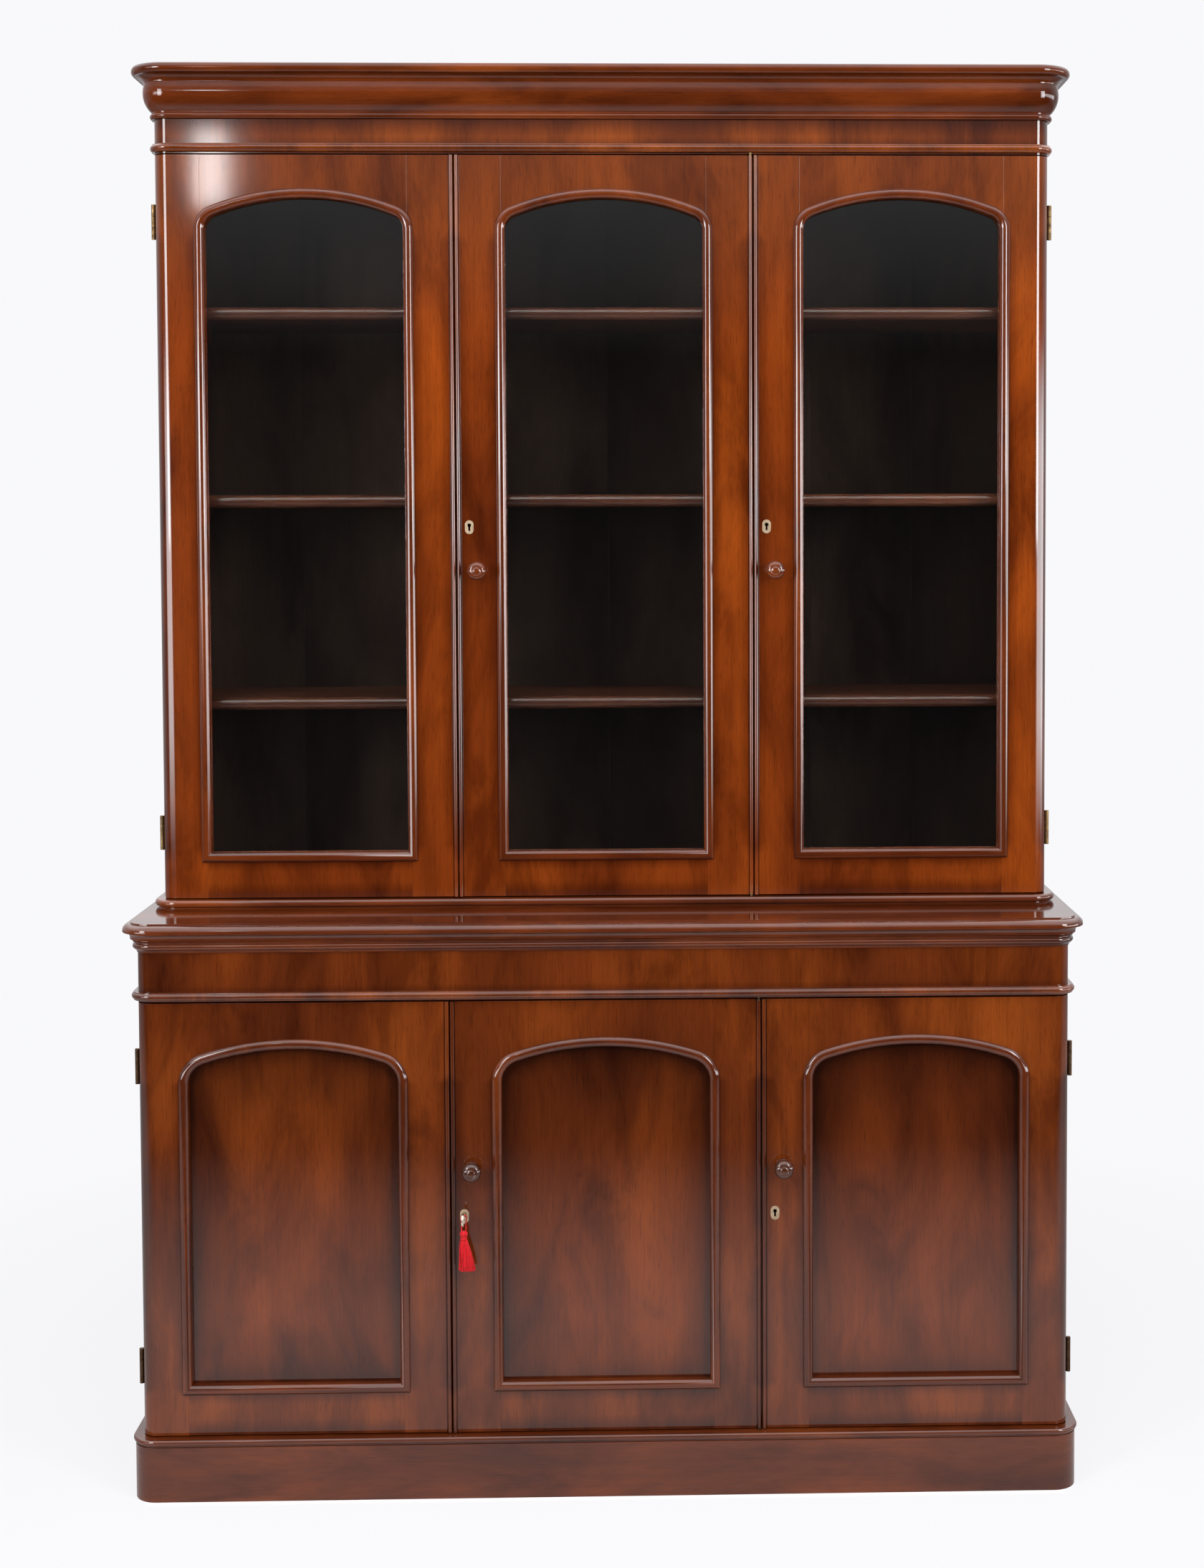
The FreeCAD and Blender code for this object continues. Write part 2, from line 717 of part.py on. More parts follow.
def butt_hinges(name, stage, side, at, edge):
    """Two butt hinges at an outer edge; returns the moving leaves and the cuts they need."""
    moving, cuts = [], []
    carcass_side = ("base" if name.startswith("lower") else "case") + ("_left" if side < 0 else "_right")
    axis_x = edge + side * S.knuckle_offset
    axis_y = at[1] + S.door_thick + S.door_clear / 2
    front_leaf = (axis_y - S.leaf_play / 2 - S.leaf_thick, axis_y - S.leaf_play / 2)
    rear_leaf = (axis_y + S.leaf_play / 2, axis_y + S.leaf_play / 2 + S.leaf_thick)
    third = S.hinge_height / 3
    outer = edge - side * S.leaf_play
    for number, level in enumerate((S.hinge_inset, stage["height"] - S.hinge_inset)):
        tag = "%s_hinge_%d" % (name, number)
        low = at[2] + level - S.hinge_height / 2
        span = (low, low + S.hinge_height)
        leaf = box(tag + "_door_leaf", (edge - side * S.leaf_width, outer), front_leaf, span)
        middle = (low + third + S.knuckle_play / 2, low + 2 * third - S.knuckle_play / 2)
        tab = box(tag + "_door_tab", (outer - side * 1, axis_x), front_leaf, middle)
        knuckle = rod(tag + "_door_knuckle", S.knuckle_radius, "Z", (axis_x, axis_y, middle[0]),
                      middle[1] - middle[0])
        bore = rod(tag + "_bore", S.hinge_pin_radius + S.pin_fit, "Z", (axis_x, axis_y, low),
                   S.hinge_height)
        moving.append(cut(tag + "_door_half", fuse(tag + "_door_solid", [leaf, tab, knuckle]), [bore]))
        cuts.append(box(tag + "_door_recess", (edge - side * S.leaf_width, edge + side * 1),
                        (front_leaf[0], at[1] + S.door_thick + 1), span))
        fixed = [box(tag + "_case_leaf", (edge - side * S.leaf_width, outer), rear_leaf, span)]
        for end, (start, stop) in (("low", (low, low + third - S.knuckle_play / 2)),
                                   ("high", (low + 2 * third + S.knuckle_play / 2, low + S.hinge_height))):
            fixed.append(box("%s_case_tab_%s" % (tag, end), (outer - side * 1, axis_x), rear_leaf,
                             (start, stop)))
            fixed.append(rod("%s_case_knuckle_%s" % (tag, end), S.knuckle_radius, "Z",
                             (axis_x, axis_y, start), stop - start))
        fixed.append(rod(tag + "_pin", S.hinge_pin_radius, "Z", (axis_x, axis_y, low), S.hinge_height))
        FIXED.append(fuse(tag + "_case_half", fixed))
        SIDE_CUTS[carcass_side].append(box(tag + "_case_recess",
                                           (edge - side * S.leaf_width, edge + side * 1),
                                           (axis_y - S.door_clear, rear_leaf[1]), span))
    return moving, cuts


def pivot_plate(name, pivot, low, grow):
    """An offset pivot plate: an arm in the door's thickness and an elbow out to the pivot."""
    x, y = pivot
    high = low + S.pivot_thick
    elbow = S.pivot_radius
    arm_y = y + 0.3 * S.door_thick
    return fuse(name, [
        box(name + "_arm", (x - S.pivot_arm - grow, x + elbow + grow),
            (arm_y - grow, arm_y + S.pivot_width + grow), (low, high)),
        box(name + "_elbow", (x - elbow - grow, x + elbow + grow), (y, arm_y + S.pivot_width), (low, high)),
        rod(name + "_eye", elbow + grow, "Z", (x, y, low), S.pivot_thick)])


def pivot_hinges(name, stage, at, edge):
    """Hidden pivots above and below a middle door, in line with the reed on its hanging edge."""
    moving, cuts = [], []
    pivot = (edge - S.reed_radius, at[1])
    stage_name = name.split("_")[0]
    for end, door_low, case_low in (
            ("bottom", at[2], at[2] - S.door_gap - S.pivot_thick),
            ("top", at[2] + stage["height"] - S.pivot_thick, at[2] + stage["height"] + S.door_gap)):
        tag = "%s_pivot_%s" % (name, end)
        hole = rod(tag + "_hole", S.pivot_pin_radius + S.pin_fit, "Z", (pivot[0], pivot[1], door_low),
                   S.pivot_thick)
        blank = pivot_plate(tag + "_door_blank", pivot, door_low, 0)
        moving.append(cut(tag + "_door_plate", blank, [hole]))
        recess = pivot_plate(tag + "_door_recess", pivot, door_low, S.joint_fit)
        relief = rod(tag + "_relief", S.reed_radius + 1, "Z", (pivot[0], pivot[1], door_low), S.pivot_thick)
        cuts.append(fuse(tag + "_door_cut", [recess, relief]))
        plate = pivot_plate(tag + "_case_blank", pivot, case_low, 0)
        pin_length = S.door_gap + S.pivot_thick - S.pivot_end_play
        pin_z = at[2] - S.door_gap if end == "bottom" else at[2] + stage["height"] + S.door_gap - pin_length
        pin = rod(tag + "_pin", S.pivot_pin_radius, "Z", (pivot[0], pivot[1], pin_z), pin_length)
        FIXED.append(fuse(tag + "_case_plate", [plate, pin]))
        CARCASS_CUTS[stage_name + "_" + end].append(
            pivot_plate(tag + "_case_recess", pivot, case_low, S.joint_fit))
    return moving, cuts


def keyhole(name, x, y, z, length):
    """A round hole with a slot below it, for cutting through everything along Y."""
    hole = rod(name + "_round", S.keyhole_radius, "Y", (x, y, z), length)
    slot = box(name + "_slot", (x - S.keyhole_slot / 2, x + S.keyhole_slot / 2), (y, y + length),
               (z - S.keyhole_drop, z))
    return fuse(name, [hole, slot])


def lock(name, stage, at, edge, tip):
    """A straight lock on the back of the left stile; its bolt shoots to the left."""
    x = edge + S.key_inset
    z = at[2] + stage["key"]
    rear = at[1] + S.door_thick
    hole = keyhole(name + "_keyhole", x, at[1] - 5, z, 10)
    slot_half = S.keyhole_radius + S.joint_fit
    way = box(name + "_way", (x - slot_half, x + slot_half), (at[1], rear + 2 * S.lock_wall),
              (z - S.keyhole_drop - S.joint_fit, z + slot_half))
    spot = [(S.plate_width / 2, S.plate_width / 2 - S.plate_height / 2),
            (S.plate_width / 2, S.plate_height / 2 - S.plate_width / 2, S.plate_width / 2, 1),
            (0, S.plate_height / 2, S.plate_width / 2, 1),
            (-S.plate_width / 2, S.plate_height / 2 - S.plate_width / 2),
            (-S.plate_width / 2, S.plate_width / 2 - S.plate_height / 2, S.plate_width / 2, 1),
            (0, -S.plate_height / 2, S.plate_width / 2, 1)]
    plate_z = z - 0.14 * S.plate_height
    plate = padded(name + "_plate", "XZ_Plane", [spot], S.plate_thick, (x, at[1] - S.plate_proud, plate_z))
    scutcheon = cut(name + "_scutcheon", plate, [hole])
    left = edge + S.lock_inset
    low = z - 0.4 * S.lock_height
    wall = S.lock_wall
    span_x, span_z = (left, left + S.lock_width), (low, low + S.lock_height)
    shell = box(name + "_shell", span_x, (rear, rear + S.lock_depth), span_z)
    hollow = box(name + "_hollow", (span_x[0] + wall, span_x[1] - wall),
                 (rear + wall, rear + S.lock_depth - wall), (span_z[0] + wall, span_z[1] - wall))
    bolt_y = rear + S.lock_depth / 2 - S.bolt_thick / 2
    bolt_z = z + S.bolt_rise
    fit = S.slide_fit
    slot = box(name + "_slot", (left - 1, left + 2 * wall), (bolt_y - fit, bolt_y + S.bolt_thick + fit),
               (bolt_z - fit, bolt_z + S.bolt_height + fit))
    case = cut(name + "_case", shell, [fuse(name + "_room", [hollow, slot, way])])
    bar = box(name + "_bar", (edge + tip, left + S.lock_width - 2 * wall), (bolt_y, bolt_y + S.bolt_thick),
              (bolt_z, bolt_z + S.bolt_height))
    notch_x = x + S.bolt_throw / 2
    notch = box(name + "_notch", (notch_x - S.bit_reach, notch_x + S.bit_reach),
                (bolt_y - 1, bolt_y + S.bolt_thick + 1), (bolt_z - 1, z + S.bit_reach + fit))
    node(name + "_bolt", [cut(name + "_bolt_bar", bar, [notch])])
    mortise = box(name + "_mortise", (edge + tip - S.bolt_throw - 1, edge + S.lock_inset),
                  (bolt_y - fit, bolt_y + S.bolt_thick + fit), (bolt_z - fit, bolt_z + S.bolt_height + fit))
    return [scutcheon, case], [plate, way], mortise


def knob(name, stage, at, edge):
    """A turned knob on a spigot in the left stile, and the hole for its spigot."""
    x, z = edge + S.knob_inset, at[2] + stage["knob"]
    radius, length, spigot = S.knob_radius, S.knob_length, S.knob_spigot
    brow, rise = 0.8 * radius, 0.12 * length
    dome = (brow * brow + rise * rise) / (2 * rise)
    profile = [(0, 0.6 * S.door_thick), (0, -length, dome, 1), (brow, rise - length),
               (radius, -0.74 * length), (radius, -0.62 * length), (0.5 * radius, -0.4 * length),
               (0.5 * radius, -0.16 * length), (0.75 * radius, -0.1 * length), (0.75 * radius, 0), (spigot, 0),
               (spigot, 0.6 * S.door_thick)]
    solid = turned(name + "_knob", profile, (x, at[1], z))
    hole = rod(name + "_knob_hole", spigot, "Y", (x, at[1] - 1, z), 0.6 * S.door_thick + 1)
    return solid, hole


def flush_bolts(name, stage, at, edge):
    """Two bolts let into the back of the meeting stile, one up and one down."""
    plates, cuts = [], []
    x = edge - S.flush_inset
    y = at[1] + S.flush_depth
    rear = at[1] + S.door_thick
    stage_name = name.split("_")[0]
    half = S.flush_radius + S.flush_play
    skin = 2 * S.pivot_thick / 2.5
    inset = S.flush_play
    grip = 0.5 * S.flush_length
    for end, way in (("top", 1), ("foot", -1)):
        tag = "%s_%s_bolt" % (name, end)
        tip = at[2] + stage["height"] - 1 if way > 0 else at[2] + 1
        tail = tip - way * S.flush_length
        start = tail if way > 0 else tip
        stem = rod(tag + "_rod", S.flush_radius, "Z", (x, y, start), S.flush_length)
        thumb_z = tail + way * grip
        grip_span = (thumb_z - S.flush_radius, thumb_z + S.flush_radius)
        thumb_piece = box(tag + "_thumb", (x - 0.6 * S.flush_radius, x + 0.6 * S.flush_radius),
                          (y, rear + 3), grip_span)
        node(tag, [fuse(tag + "_solid", [stem, thumb_piece])])
        groove = box(tag + "_groove", (x - half, x + half), (y - half, rear + 1),
                     (tail - way * inset, tip + way * 2))
        seat = box(tag + "_seat", (x - 2 * half, x + 2 * half), (rear - skin, rear + 1),
                   (tail - way * 3 * inset, tip - way * 6))
        cuts.append(fuse(tag + "_pocket", [groove, seat]))
        cover = box(tag + "_cover", (x - 2 * half, x + 2 * half), (rear - skin, rear),
                    (tail - way * 3 * inset, tip - way * 6))
        travel = box(tag + "_travel", (x - 0.6 * S.flush_radius - inset, x + 0.6 * S.flush_radius + inset),
                     (rear - skin - 1, rear + 1),
                     (thumb_z - way * (S.flush_radius + 1),
                      thumb_z + way * (S.flush_radius + S.flush_throw + 1)))
        plates.append(cut(tag + "_plate", cover, [travel]))
        mouth = at[2] + stage["height"] + S.door_gap if way > 0 else at[2] - S.door_gap
        depth = S.flush_throw - S.door_gap
        CARCASS_CUTS[stage_name + ("_top" if way > 0 else "_bottom")].append(
            box(tag + "_socket", (x - half, x + half), (y - half, y + half), (mouth - way, mouth + way * depth)))
    return plates, cuts


def make_doors(stage_name, fill_name):
    stage = STAGES[stage_name]
    width = (stage["width"] - 2 * S.door_gap) / 3
    pitch = width + S.door_gap
    for number, hand in enumerate(("left", "middle", "right")):
        name = "%s_%s" % (stage_name, hand)
        at = (pitch * (number - 1), stage["face"], stage["z"])
        left, right = at[0] - width / 2, at[0] + width / 2
        kinds = ("outer" if hand == "left" else "meeting", "outer" if hand == "right" else "meeting")
        cuts = {-1: [], 1: []}
        brass, handles = [], []
        if hand == "middle":
            brass, cuts[1] = pivot_hinges(name, stage, at, right)
        else:
            side = -1 if hand == "left" else 1
            brass, hinge_cuts = butt_hinges(name, stage, side, at, left if side < 0 else right)
            cuts[side] += hinge_cuts
        if hand == "left":
            plates, bolt_cuts = flush_bolts(name, stage, at, right)
            brass += plates
            cuts[1] += bolt_cuts
        else:
            tip = 1 if hand == "middle" else S.lock_inset
            fittings, lock_cuts, mortise = lock(name + "_lock", stage, at, left, tip)
            brass += fittings
            cuts[-1] += lock_cuts
            handle, spigot_hole = knob(name, stage, at, left)
            cuts[-1].append(spigot_hole)
            handles = [handle]
            if hand == "right":
                CARCASS_CUTS[stage_name + "_partition"].append(mortise)
        door_frame(name, stage, width, kinds, at, cuts, handles)
        door_fill(name, stage, width, at, fill_name)
        node(name + "_brass", brass)


make_doors("lower", "panel")
make_doors("upper", "glass")


# Key and tassel in the lower middle door

lower = STAGES["lower"]
lower_width = (lower["width"] - 2 * S.door_gap) / 3
key_x = S.key_inset - lower_width / 2
key_z = lower["z"] + lower["key"]
key_end = S.door_thick + S.lock_depth / 2 + S.bit_width / 2
stem_start = (key_x, BASE_FACE - S.stem_reach - 2, key_z)
stem = rod("key_stem", S.stem_radius, "Y", stem_start, S.stem_reach + 2 + key_end)
collar_start = (key_x, BASE_FACE - S.stem_reach, key_z)
collar = rod("key_collar", 1.5 * S.stem_radius, "Y", collar_start, 1.2 * S.stem_radius)
bow_y = BASE_FACE - S.stem_reach - S.bow_radius
bow_disc = rod("key_bow_disc", S.bow_radius, "X", (key_x - S.bow_thick / 2, bow_y, key_z), S.bow_thick)
bow_hole = rod("key_bow_hole", S.bow_hole, "X", (key_x - S.bow_thick, bow_y, key_z), 2 * S.bow_thick)
bit_mid = BASE_FACE + S.door_thick + S.lock_depth / 2
bit = box("key_bit", (key_x - S.bit_thick / 2, key_x + S.bit_thick / 2),
          (bit_mid - S.bit_width / 2, bit_mid + S.bit_width / 2), (key_z - S.bit_reach, key_z))
bow = cut("key_bow", bow_disc, [bow_hole])
node("key", [fuse("key_solid", [stem, collar, bow, bit])])

# The cord is an inverted U over the key's stem: a straight run, a half turn and a straight run
cord_bend = S.stem_radius + S.cord_fit + S.cord_radius
cord = new_body("tassel_cord")
cord_path = new_sketch(cord, "XZ_Plane", "tassel_cord_path")
draw(cord_path, [(cord_bend, -S.cord_drop), (cord_bend, 0, cord_bend, 1), (0, cord_bend, cord_bend, 1),
                 (-cord_bend, 0), (-cord_bend, -S.cord_drop)], False)
cord_section = new_sketch(cord, "XY_Plane", "tassel_cord_section")
ring = cord_section.addGeometry(Part.Circle(FreeCAD.Vector(cord_bend.value, 0, 0), FreeCAD.Vector(0, 0, 1),
                                            S.cord_radius.value), False)
fix(cord_section, ring, 3, cord_bend, 0)
ring_size = cord_section.addConstraint(Sketcher.Constraint("Radius", ring, S.cord_radius.value))
cord_section.setExpression("Constraints[%d]" % ring_size, S.cord_radius.text)
cord_pipe = cord.newObject("PartDesign::AdditivePipe", "tassel_cord_pipe")
cord_pipe.Profile = cord_section
cord_pipe.Spine = cord_path
tassel_y = BASE_FACE - S.tassel_reach
place(cord, key_x, tassel_y, key_z)

head = new_body("tassel_head")
head_sketch = new_sketch(head, "XZ_Plane", "tassel_head_section")
head_top = -S.cord_drop
head_r = S.tassel_head_radius
draw(head_sketch, [(0, head_top), (0.6 * head_r, head_top), (head_r, head_top - 0.6 * head_r),
                   (head_r, head_top - 1.2 * head_r), (0.7 * head_r, head_top - 1.7 * head_r),
                   (0.7 * head_r, head_top - 2 * head_r), (0, head_top - 2 * head_r)])
head_turn = head.newObject("PartDesign::Revolution", "tassel_head_turn")
head_turn.Profile = head_sketch
head_turn.ReferenceAxis = (head_sketch, ["V_Axis"])
head_turn.Angle = 360
place(head, key_x, tassel_y, key_z)

# The skirt: a flared front view cut from a prism with two bowed faces, leaning a little to the right
skirt_top = S.cord_drop + 2 * head_r
skirt_neck = 0.5 * S.tassel_half_width
skirt_lean = 0.35 * S.tassel_half_width
flare = padded("tassel_flare", "XZ_Plane",
               [[(-skirt_neck, -skirt_top), (skirt_lean - S.tassel_half_width, -S.tassel_length),
                 (skirt_lean + S.tassel_half_width, -S.tassel_length), (skirt_neck, -skirt_top)]],
               2 * S.tassel_half_depth, (key_x, tassel_y - S.tassel_half_depth, key_z))
half_wide, half_deep = S.tassel_half_width, S.tassel_half_depth
bow_line = (half_wide * half_wide + half_deep * half_deep) / (2 * half_deep)
prism = padded("tassel_prism", "XY_Plane", [[(-half_wide, 0, bow_line, 1), (half_wide, 0, bow_line, 1)]],
               S.tassel_length - skirt_top, (key_x + skirt_lean, tassel_y, key_z - S.tassel_length))
skirt = DOC.addObject("Part::Common", "tassel_skirt")
skirt.Base = flare
skirt.Tool = prism
node("tassel", [cord, head, skirt])


# Carcass nodes, with the recesses that the doors need

base_boards, base_housings, base_shelves, base_bearers, base_backs = base_parts
case_boards, case_housings, case_shelves, case_bearers, case_backs = case_parts


def finish_carcass(stage, door_stage, boards, housings):
    sides = []
    for side in ("left", "right"):
        tag = "%s_%s" % (stage, side)
        sides.append(cut(tag + "_side", boards[side], [fuse(tag + "_cuts", housings + SIDE_CUTS[tag])]))
    node(stage + "_sides", sides)
    node(stage + "_bottom", [boards["bottom"]])
    node(stage + "_partition", [cut(stage + "_partition_cut", boards["partition"],
                                    CARCASS_CUTS[door_stage + "_partition"])])


finish_carcass("base", "lower", base_boards, base_housings)
finish_carcass("case", "upper", case_boards, case_housings)
node("base_subtop", [base_boards["top"]])
node("case_top", [case_boards["top"]])
node("base_back", base_backs)
node("case_back", case_backs)
node("base_shelves", base_shelves)
node("case_shelves", case_shelves)
node("base_bearers", base_bearers)
node("case_bearers", case_bearers)


def rear_rail(name, width, low, high):
    """The plain rail that closes a frame at the back."""
    half = width / 2 - S.wrap_depth
    return box(name, (-half, half), (BACK - S.board_thick, BACK), (low, high))


# Plinth, its cap and the foot of the upper case
plinth_front = wrapped("plinth_front", BASE_WIDTH, BASE_FACE, 0,
                       [(-S.wrap_depth, 0), (S.plinth_reach, 0), (S.plinth_reach, S.plinth_height),
                        (-S.wrap_depth, S.plinth_height)])
plinth_rear = rear_rail("plinth_rear", BASE_WIDTH, 0, BASE_Z)
node("plinth", [plinth_front, plinth_rear])
cap = wrapped("plinth_cap_frame", BASE_WIDTH, BASE_FACE, CAP_Z,
              nosed_profile(S.wrap_depth, S.cap_reach, S.cap_height, 0.75 * S.cap_height))
node("plinth_cap", [cut("plinth_cap_cut", cap, CARCASS_CUTS["lower_bottom"])])
foot = wrapped("case_foot_frame", CASE_WIDTH, CASE_FACE, FOOT_Z,
               nosed_profile(S.wrap_depth, S.foot_reach, S.foot_height, 0.8 * S.foot_height))
node("case_foot", [cut("case_foot_cut", foot, CARCASS_CUTS["upper_bottom"]),
                   rear_rail("case_foot_rear", CASE_WIDTH, FOOT_Z, CASE_Z)])

# Friezes with their beads, the waist and the cornice
base_bead = wrapped("base_frieze_bead", BASE_WIDTH, BASE_FACE, BASE_FRIEZE_Z + S.bead_lift,
                    bead_profile(S.base_bead_reach, S.base_bead_height))
case_bead = wrapped("case_frieze_bead", CASE_WIDTH, CASE_FACE, CASE_FRIEZE_Z + S.bead_lift,
                    bead_profile(S.case_bead_reach, S.case_bead_height))
node("base_frieze", [cut("base_frieze_cut", base_boards["frieze"], CARCASS_CUTS["lower_top"]), base_bead])
node("case_frieze", [cut("case_frieze_cut", case_boards["frieze"], CARCASS_CUTS["upper_top"]), case_bead])
node("waist_moulding", [wrapped("waist_mould", BASE_WIDTH, BASE_FACE, WAIST_MOULD_Z, waist_section)])
node("waist_top", [edged_board("waist_board", BASE_WIDTH, BASE_FACE, WAIST_TOP_Z, waist_top_section,
                               board_edge, S.waist_top_thick)])
node("cornice_moulding", [wrapped("cornice_mould", CASE_WIDTH, CASE_FACE, CORNICE_Z, cornice_section),
                          rear_rail("cornice_rear", CASE_WIDTH, CORNICE_Z, CORNICE_TOP_Z)])
node("cornice_top", [edged_board("cornice_board", CASE_WIDTH, CASE_FACE, CORNICE_TOP_Z,
                                 cornice_top_section, S.cornice_top_reach / 2, S.cornice_top_thick)])
node("carcass_brass", FIXED)

# Check every object and write one STEP file per sub-part

DOC.recompute()
for thing in DOC.Objects:
    if "Invalid" in thing.State or "Error" in thing.State:
        raise RuntimeError("%s is in error: %s" % (thing.Name, thing.State))
os.makedirs("parts", exist_ok=True)
for name, thing in NODES.items():
    shape = thing.Shape
    if shape.isNull() or not shape.isValid() or not shape.Solids:
        raise RuntimeError("%s has no valid solid" % name)
    shape.exportStep("parts/%s.step" % name)
    print("%-22s %2d solids %10.1f cm3" % (name, len(shape.Solids), shape.Volume / 1000))
print(len(NODES), "sub-parts; cord bend radius", round(cord_bend.value, 2), "mm")
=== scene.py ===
# %% [markdown]
# # A library bookcase in polished mahogany
# This lesson dresses a bookcase that already exists as separate solids: a base with three panelled
# doors, and an upper case with three glazed doors that stands back on top of it. The solids give every
# size and every joint. Blender adds what solids don't carry: eased edges, wood figure, polish, glass,
# brass, turned knobs and a silk tassel.

# %% Load the frame
import json
import math
import random
import bpy
from mathutils import Matrix, Vector


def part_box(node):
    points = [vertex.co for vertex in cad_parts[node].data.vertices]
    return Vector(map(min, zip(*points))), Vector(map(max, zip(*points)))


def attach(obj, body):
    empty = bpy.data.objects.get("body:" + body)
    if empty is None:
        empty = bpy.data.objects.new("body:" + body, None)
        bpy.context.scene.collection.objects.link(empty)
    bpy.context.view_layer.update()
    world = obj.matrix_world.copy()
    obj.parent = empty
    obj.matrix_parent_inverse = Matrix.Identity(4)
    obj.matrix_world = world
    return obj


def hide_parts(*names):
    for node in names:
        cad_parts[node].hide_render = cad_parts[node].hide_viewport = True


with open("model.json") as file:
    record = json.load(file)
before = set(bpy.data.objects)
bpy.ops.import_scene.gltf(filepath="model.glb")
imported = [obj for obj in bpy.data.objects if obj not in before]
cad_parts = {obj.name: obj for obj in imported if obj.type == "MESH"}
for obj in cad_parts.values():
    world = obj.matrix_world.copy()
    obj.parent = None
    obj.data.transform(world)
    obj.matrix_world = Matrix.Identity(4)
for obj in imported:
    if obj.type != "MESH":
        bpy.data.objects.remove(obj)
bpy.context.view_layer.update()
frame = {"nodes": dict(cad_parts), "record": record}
nodes = frame["nodes"]
bodies = frame["record"]["behaviour"]["bodies"]
body_of_node = {name: body for body, names in bodies.items() for name in names}

# %% [markdown]
# ## Two helpers for objects
# Every object has to be linked to the scene before it shows, and most operators work on what is selected.
# These two short functions do that.

# %% Object helpers
def place_in_scene(name, data):
    made = bpy.data.objects.new(name, data)
    bpy.context.scene.collection.objects.link(made)
    return made


def pick(*objects):
    """Selects these objects and no others. The first becomes the active one."""
    bpy.ops.object.select_all(action="DESELECT")
    for obj in objects:
        obj.select_set(True)
    bpy.context.view_layer.objects.active = objects[0]


print("object helpers ready")

# %% [markdown]
# ## Where the viewer stands
# The bookcase is seen from a standing eye height, almost square on, a little right of its middle. A
# picture taken like this is often cropped afterwards, so the middle of the lens isn't the middle of the
# picture. A small camera shift does the same as that crop and keeps the uprights upright.

# %% Camera
EYE = Vector((0.0819, -3.8682, 1.6409))
YAW, PITCH, ROLL = math.radians(1.486), math.radians(2.6654), math.radians(-0.1593)
LENS = 50.04
SHIFT = (-0.0682, -0.0966)

ahead = Vector((math.sin(YAW) * math.cos(PITCH), math.cos(YAW) * math.cos(PITCH), -math.sin(PITCH)))
level_right = Vector((math.cos(YAW), -math.sin(YAW), 0))
level_up = level_right.cross(ahead)
right = math.cos(ROLL) * level_right + math.sin(ROLL) * level_up
up = right.cross(ahead)

camera = place_in_scene("camera", bpy.data.cameras.new("camera"))
camera.matrix_world = Matrix.Translation(EYE) @ Matrix((right, up, -ahead)).transposed().to_4x4()
camera.data.lens = LENS
camera.data.shift_x, camera.data.shift_y = SHIFT
bpy.context.scene.camera = camera
print("camera at", tuple(round(v, 3) for v in EYE), "with a", LENS, "mm lens")

# %% [markdown]
# ## Materials: helpers
# Every finish here is a tree of shader nodes. A few short helpers keep the trees readable. The first ones
# add a node, and link its inputs or give them plain values. The others add one kind of node each and
# return what comes out of it. Positions come from Object coordinates, or from attributes that a mesh
# carries, such as `grain`, which says how far along and across the grain a point is.

# %% Node helpers
FACTOR, COLOUR_A, COLOUR_B, COLOUR_OUT = 0, 6, 7, 2


def link(tree, value, socket):
    """Joins an output to an input, or gives the input a plain value. Colours are RGB."""
    if isinstance(value, bpy.types.NodeSocket):
        tree.links.new(value, socket)
    else:
        socket.default_value = (*value, 1) if socket.type == "RGBA" else value


def wire(tree, node, inputs):
    for socket, value in inputs.items():
        link(tree, value, node.inputs[socket])
    return node


def add_node(tree, kind, inputs=None, **settings):
    made = tree.nodes.new(kind)
    for name, value in settings.items():
        setattr(made, name, value)
    return wire(tree, made, inputs or {})


def ramp(tree, factor, stops):
    made = add_node(tree, "ShaderNodeValToRGB", {"Fac": factor})
    elements = made.color_ramp.elements
    while len(elements) < len(stops):
        elements.new(0.5)
    for element, (position, colour) in zip(elements, stops):
        element.position = position
        element.color = (*colour, 1)
    return made.outputs["Color"]


def remap(tree, value, low, high, to_low, to_high):
    made = add_node(tree, "ShaderNodeMapRange", {"Value": value, "From Min": low, "From Max": high,
                                                 "To Min": to_low, "To Max": to_high})
    return made.outputs["Result"]


def calc(tree, kind, *values):
    """One Math node after another: values are sockets or plain numbers."""
    total = values[0]
    for value in values[1:] or (0.0,):
        total = add_node(tree, "ShaderNodeMath", {0: total, 1: value}, operation=kind).outputs[0]
    return total


def mix(tree, kind, factor, first, second):
    made = add_node(tree, "ShaderNodeMix", {FACTOR: factor, COLOUR_A: first, COLOUR_B: second},
                    data_type="RGBA", blend_type=kind)
    return made.outputs[COLOUR_OUT]


def stretched_noise(tree, place, stretch, detail=3.0, rough=0.55, twist=0.0):
    turned = add_node(tree, "ShaderNodeMapping", {"Vector": place, "Scale": stretch})
    made = add_node(tree, "ShaderNodeTexNoise", {"Vector": turned.outputs["Vector"], "Scale": 1.0,
                                                 "Detail": detail, "Roughness": rough, "Distortion": twist})
    return made.outputs["Fac"]


def object_place(tree):
    return add_node(tree, "ShaderNodeTexCoord").outputs["Object"]


def carried(tree, name):
    return add_node(tree, "ShaderNodeAttribute", attribute_name=name).outputs["Vector"]


def split_xyz(tree, vector):
    apart = add_node(tree, "ShaderNodeSeparateXYZ", {"Vector": vector})
    return [apart.outputs[k] for k in "XYZ"]


def bump_normal(tree, height, strength, depth):
    made = add_node(tree, "ShaderNodeBump", {"Height": height, "Strength": strength, "Distance": depth})
    return made.outputs["Normal"]


print("node helpers ready")

# %% [markdown]
# A new material starts with one general shader. Glass and floor mix it with a second shader.

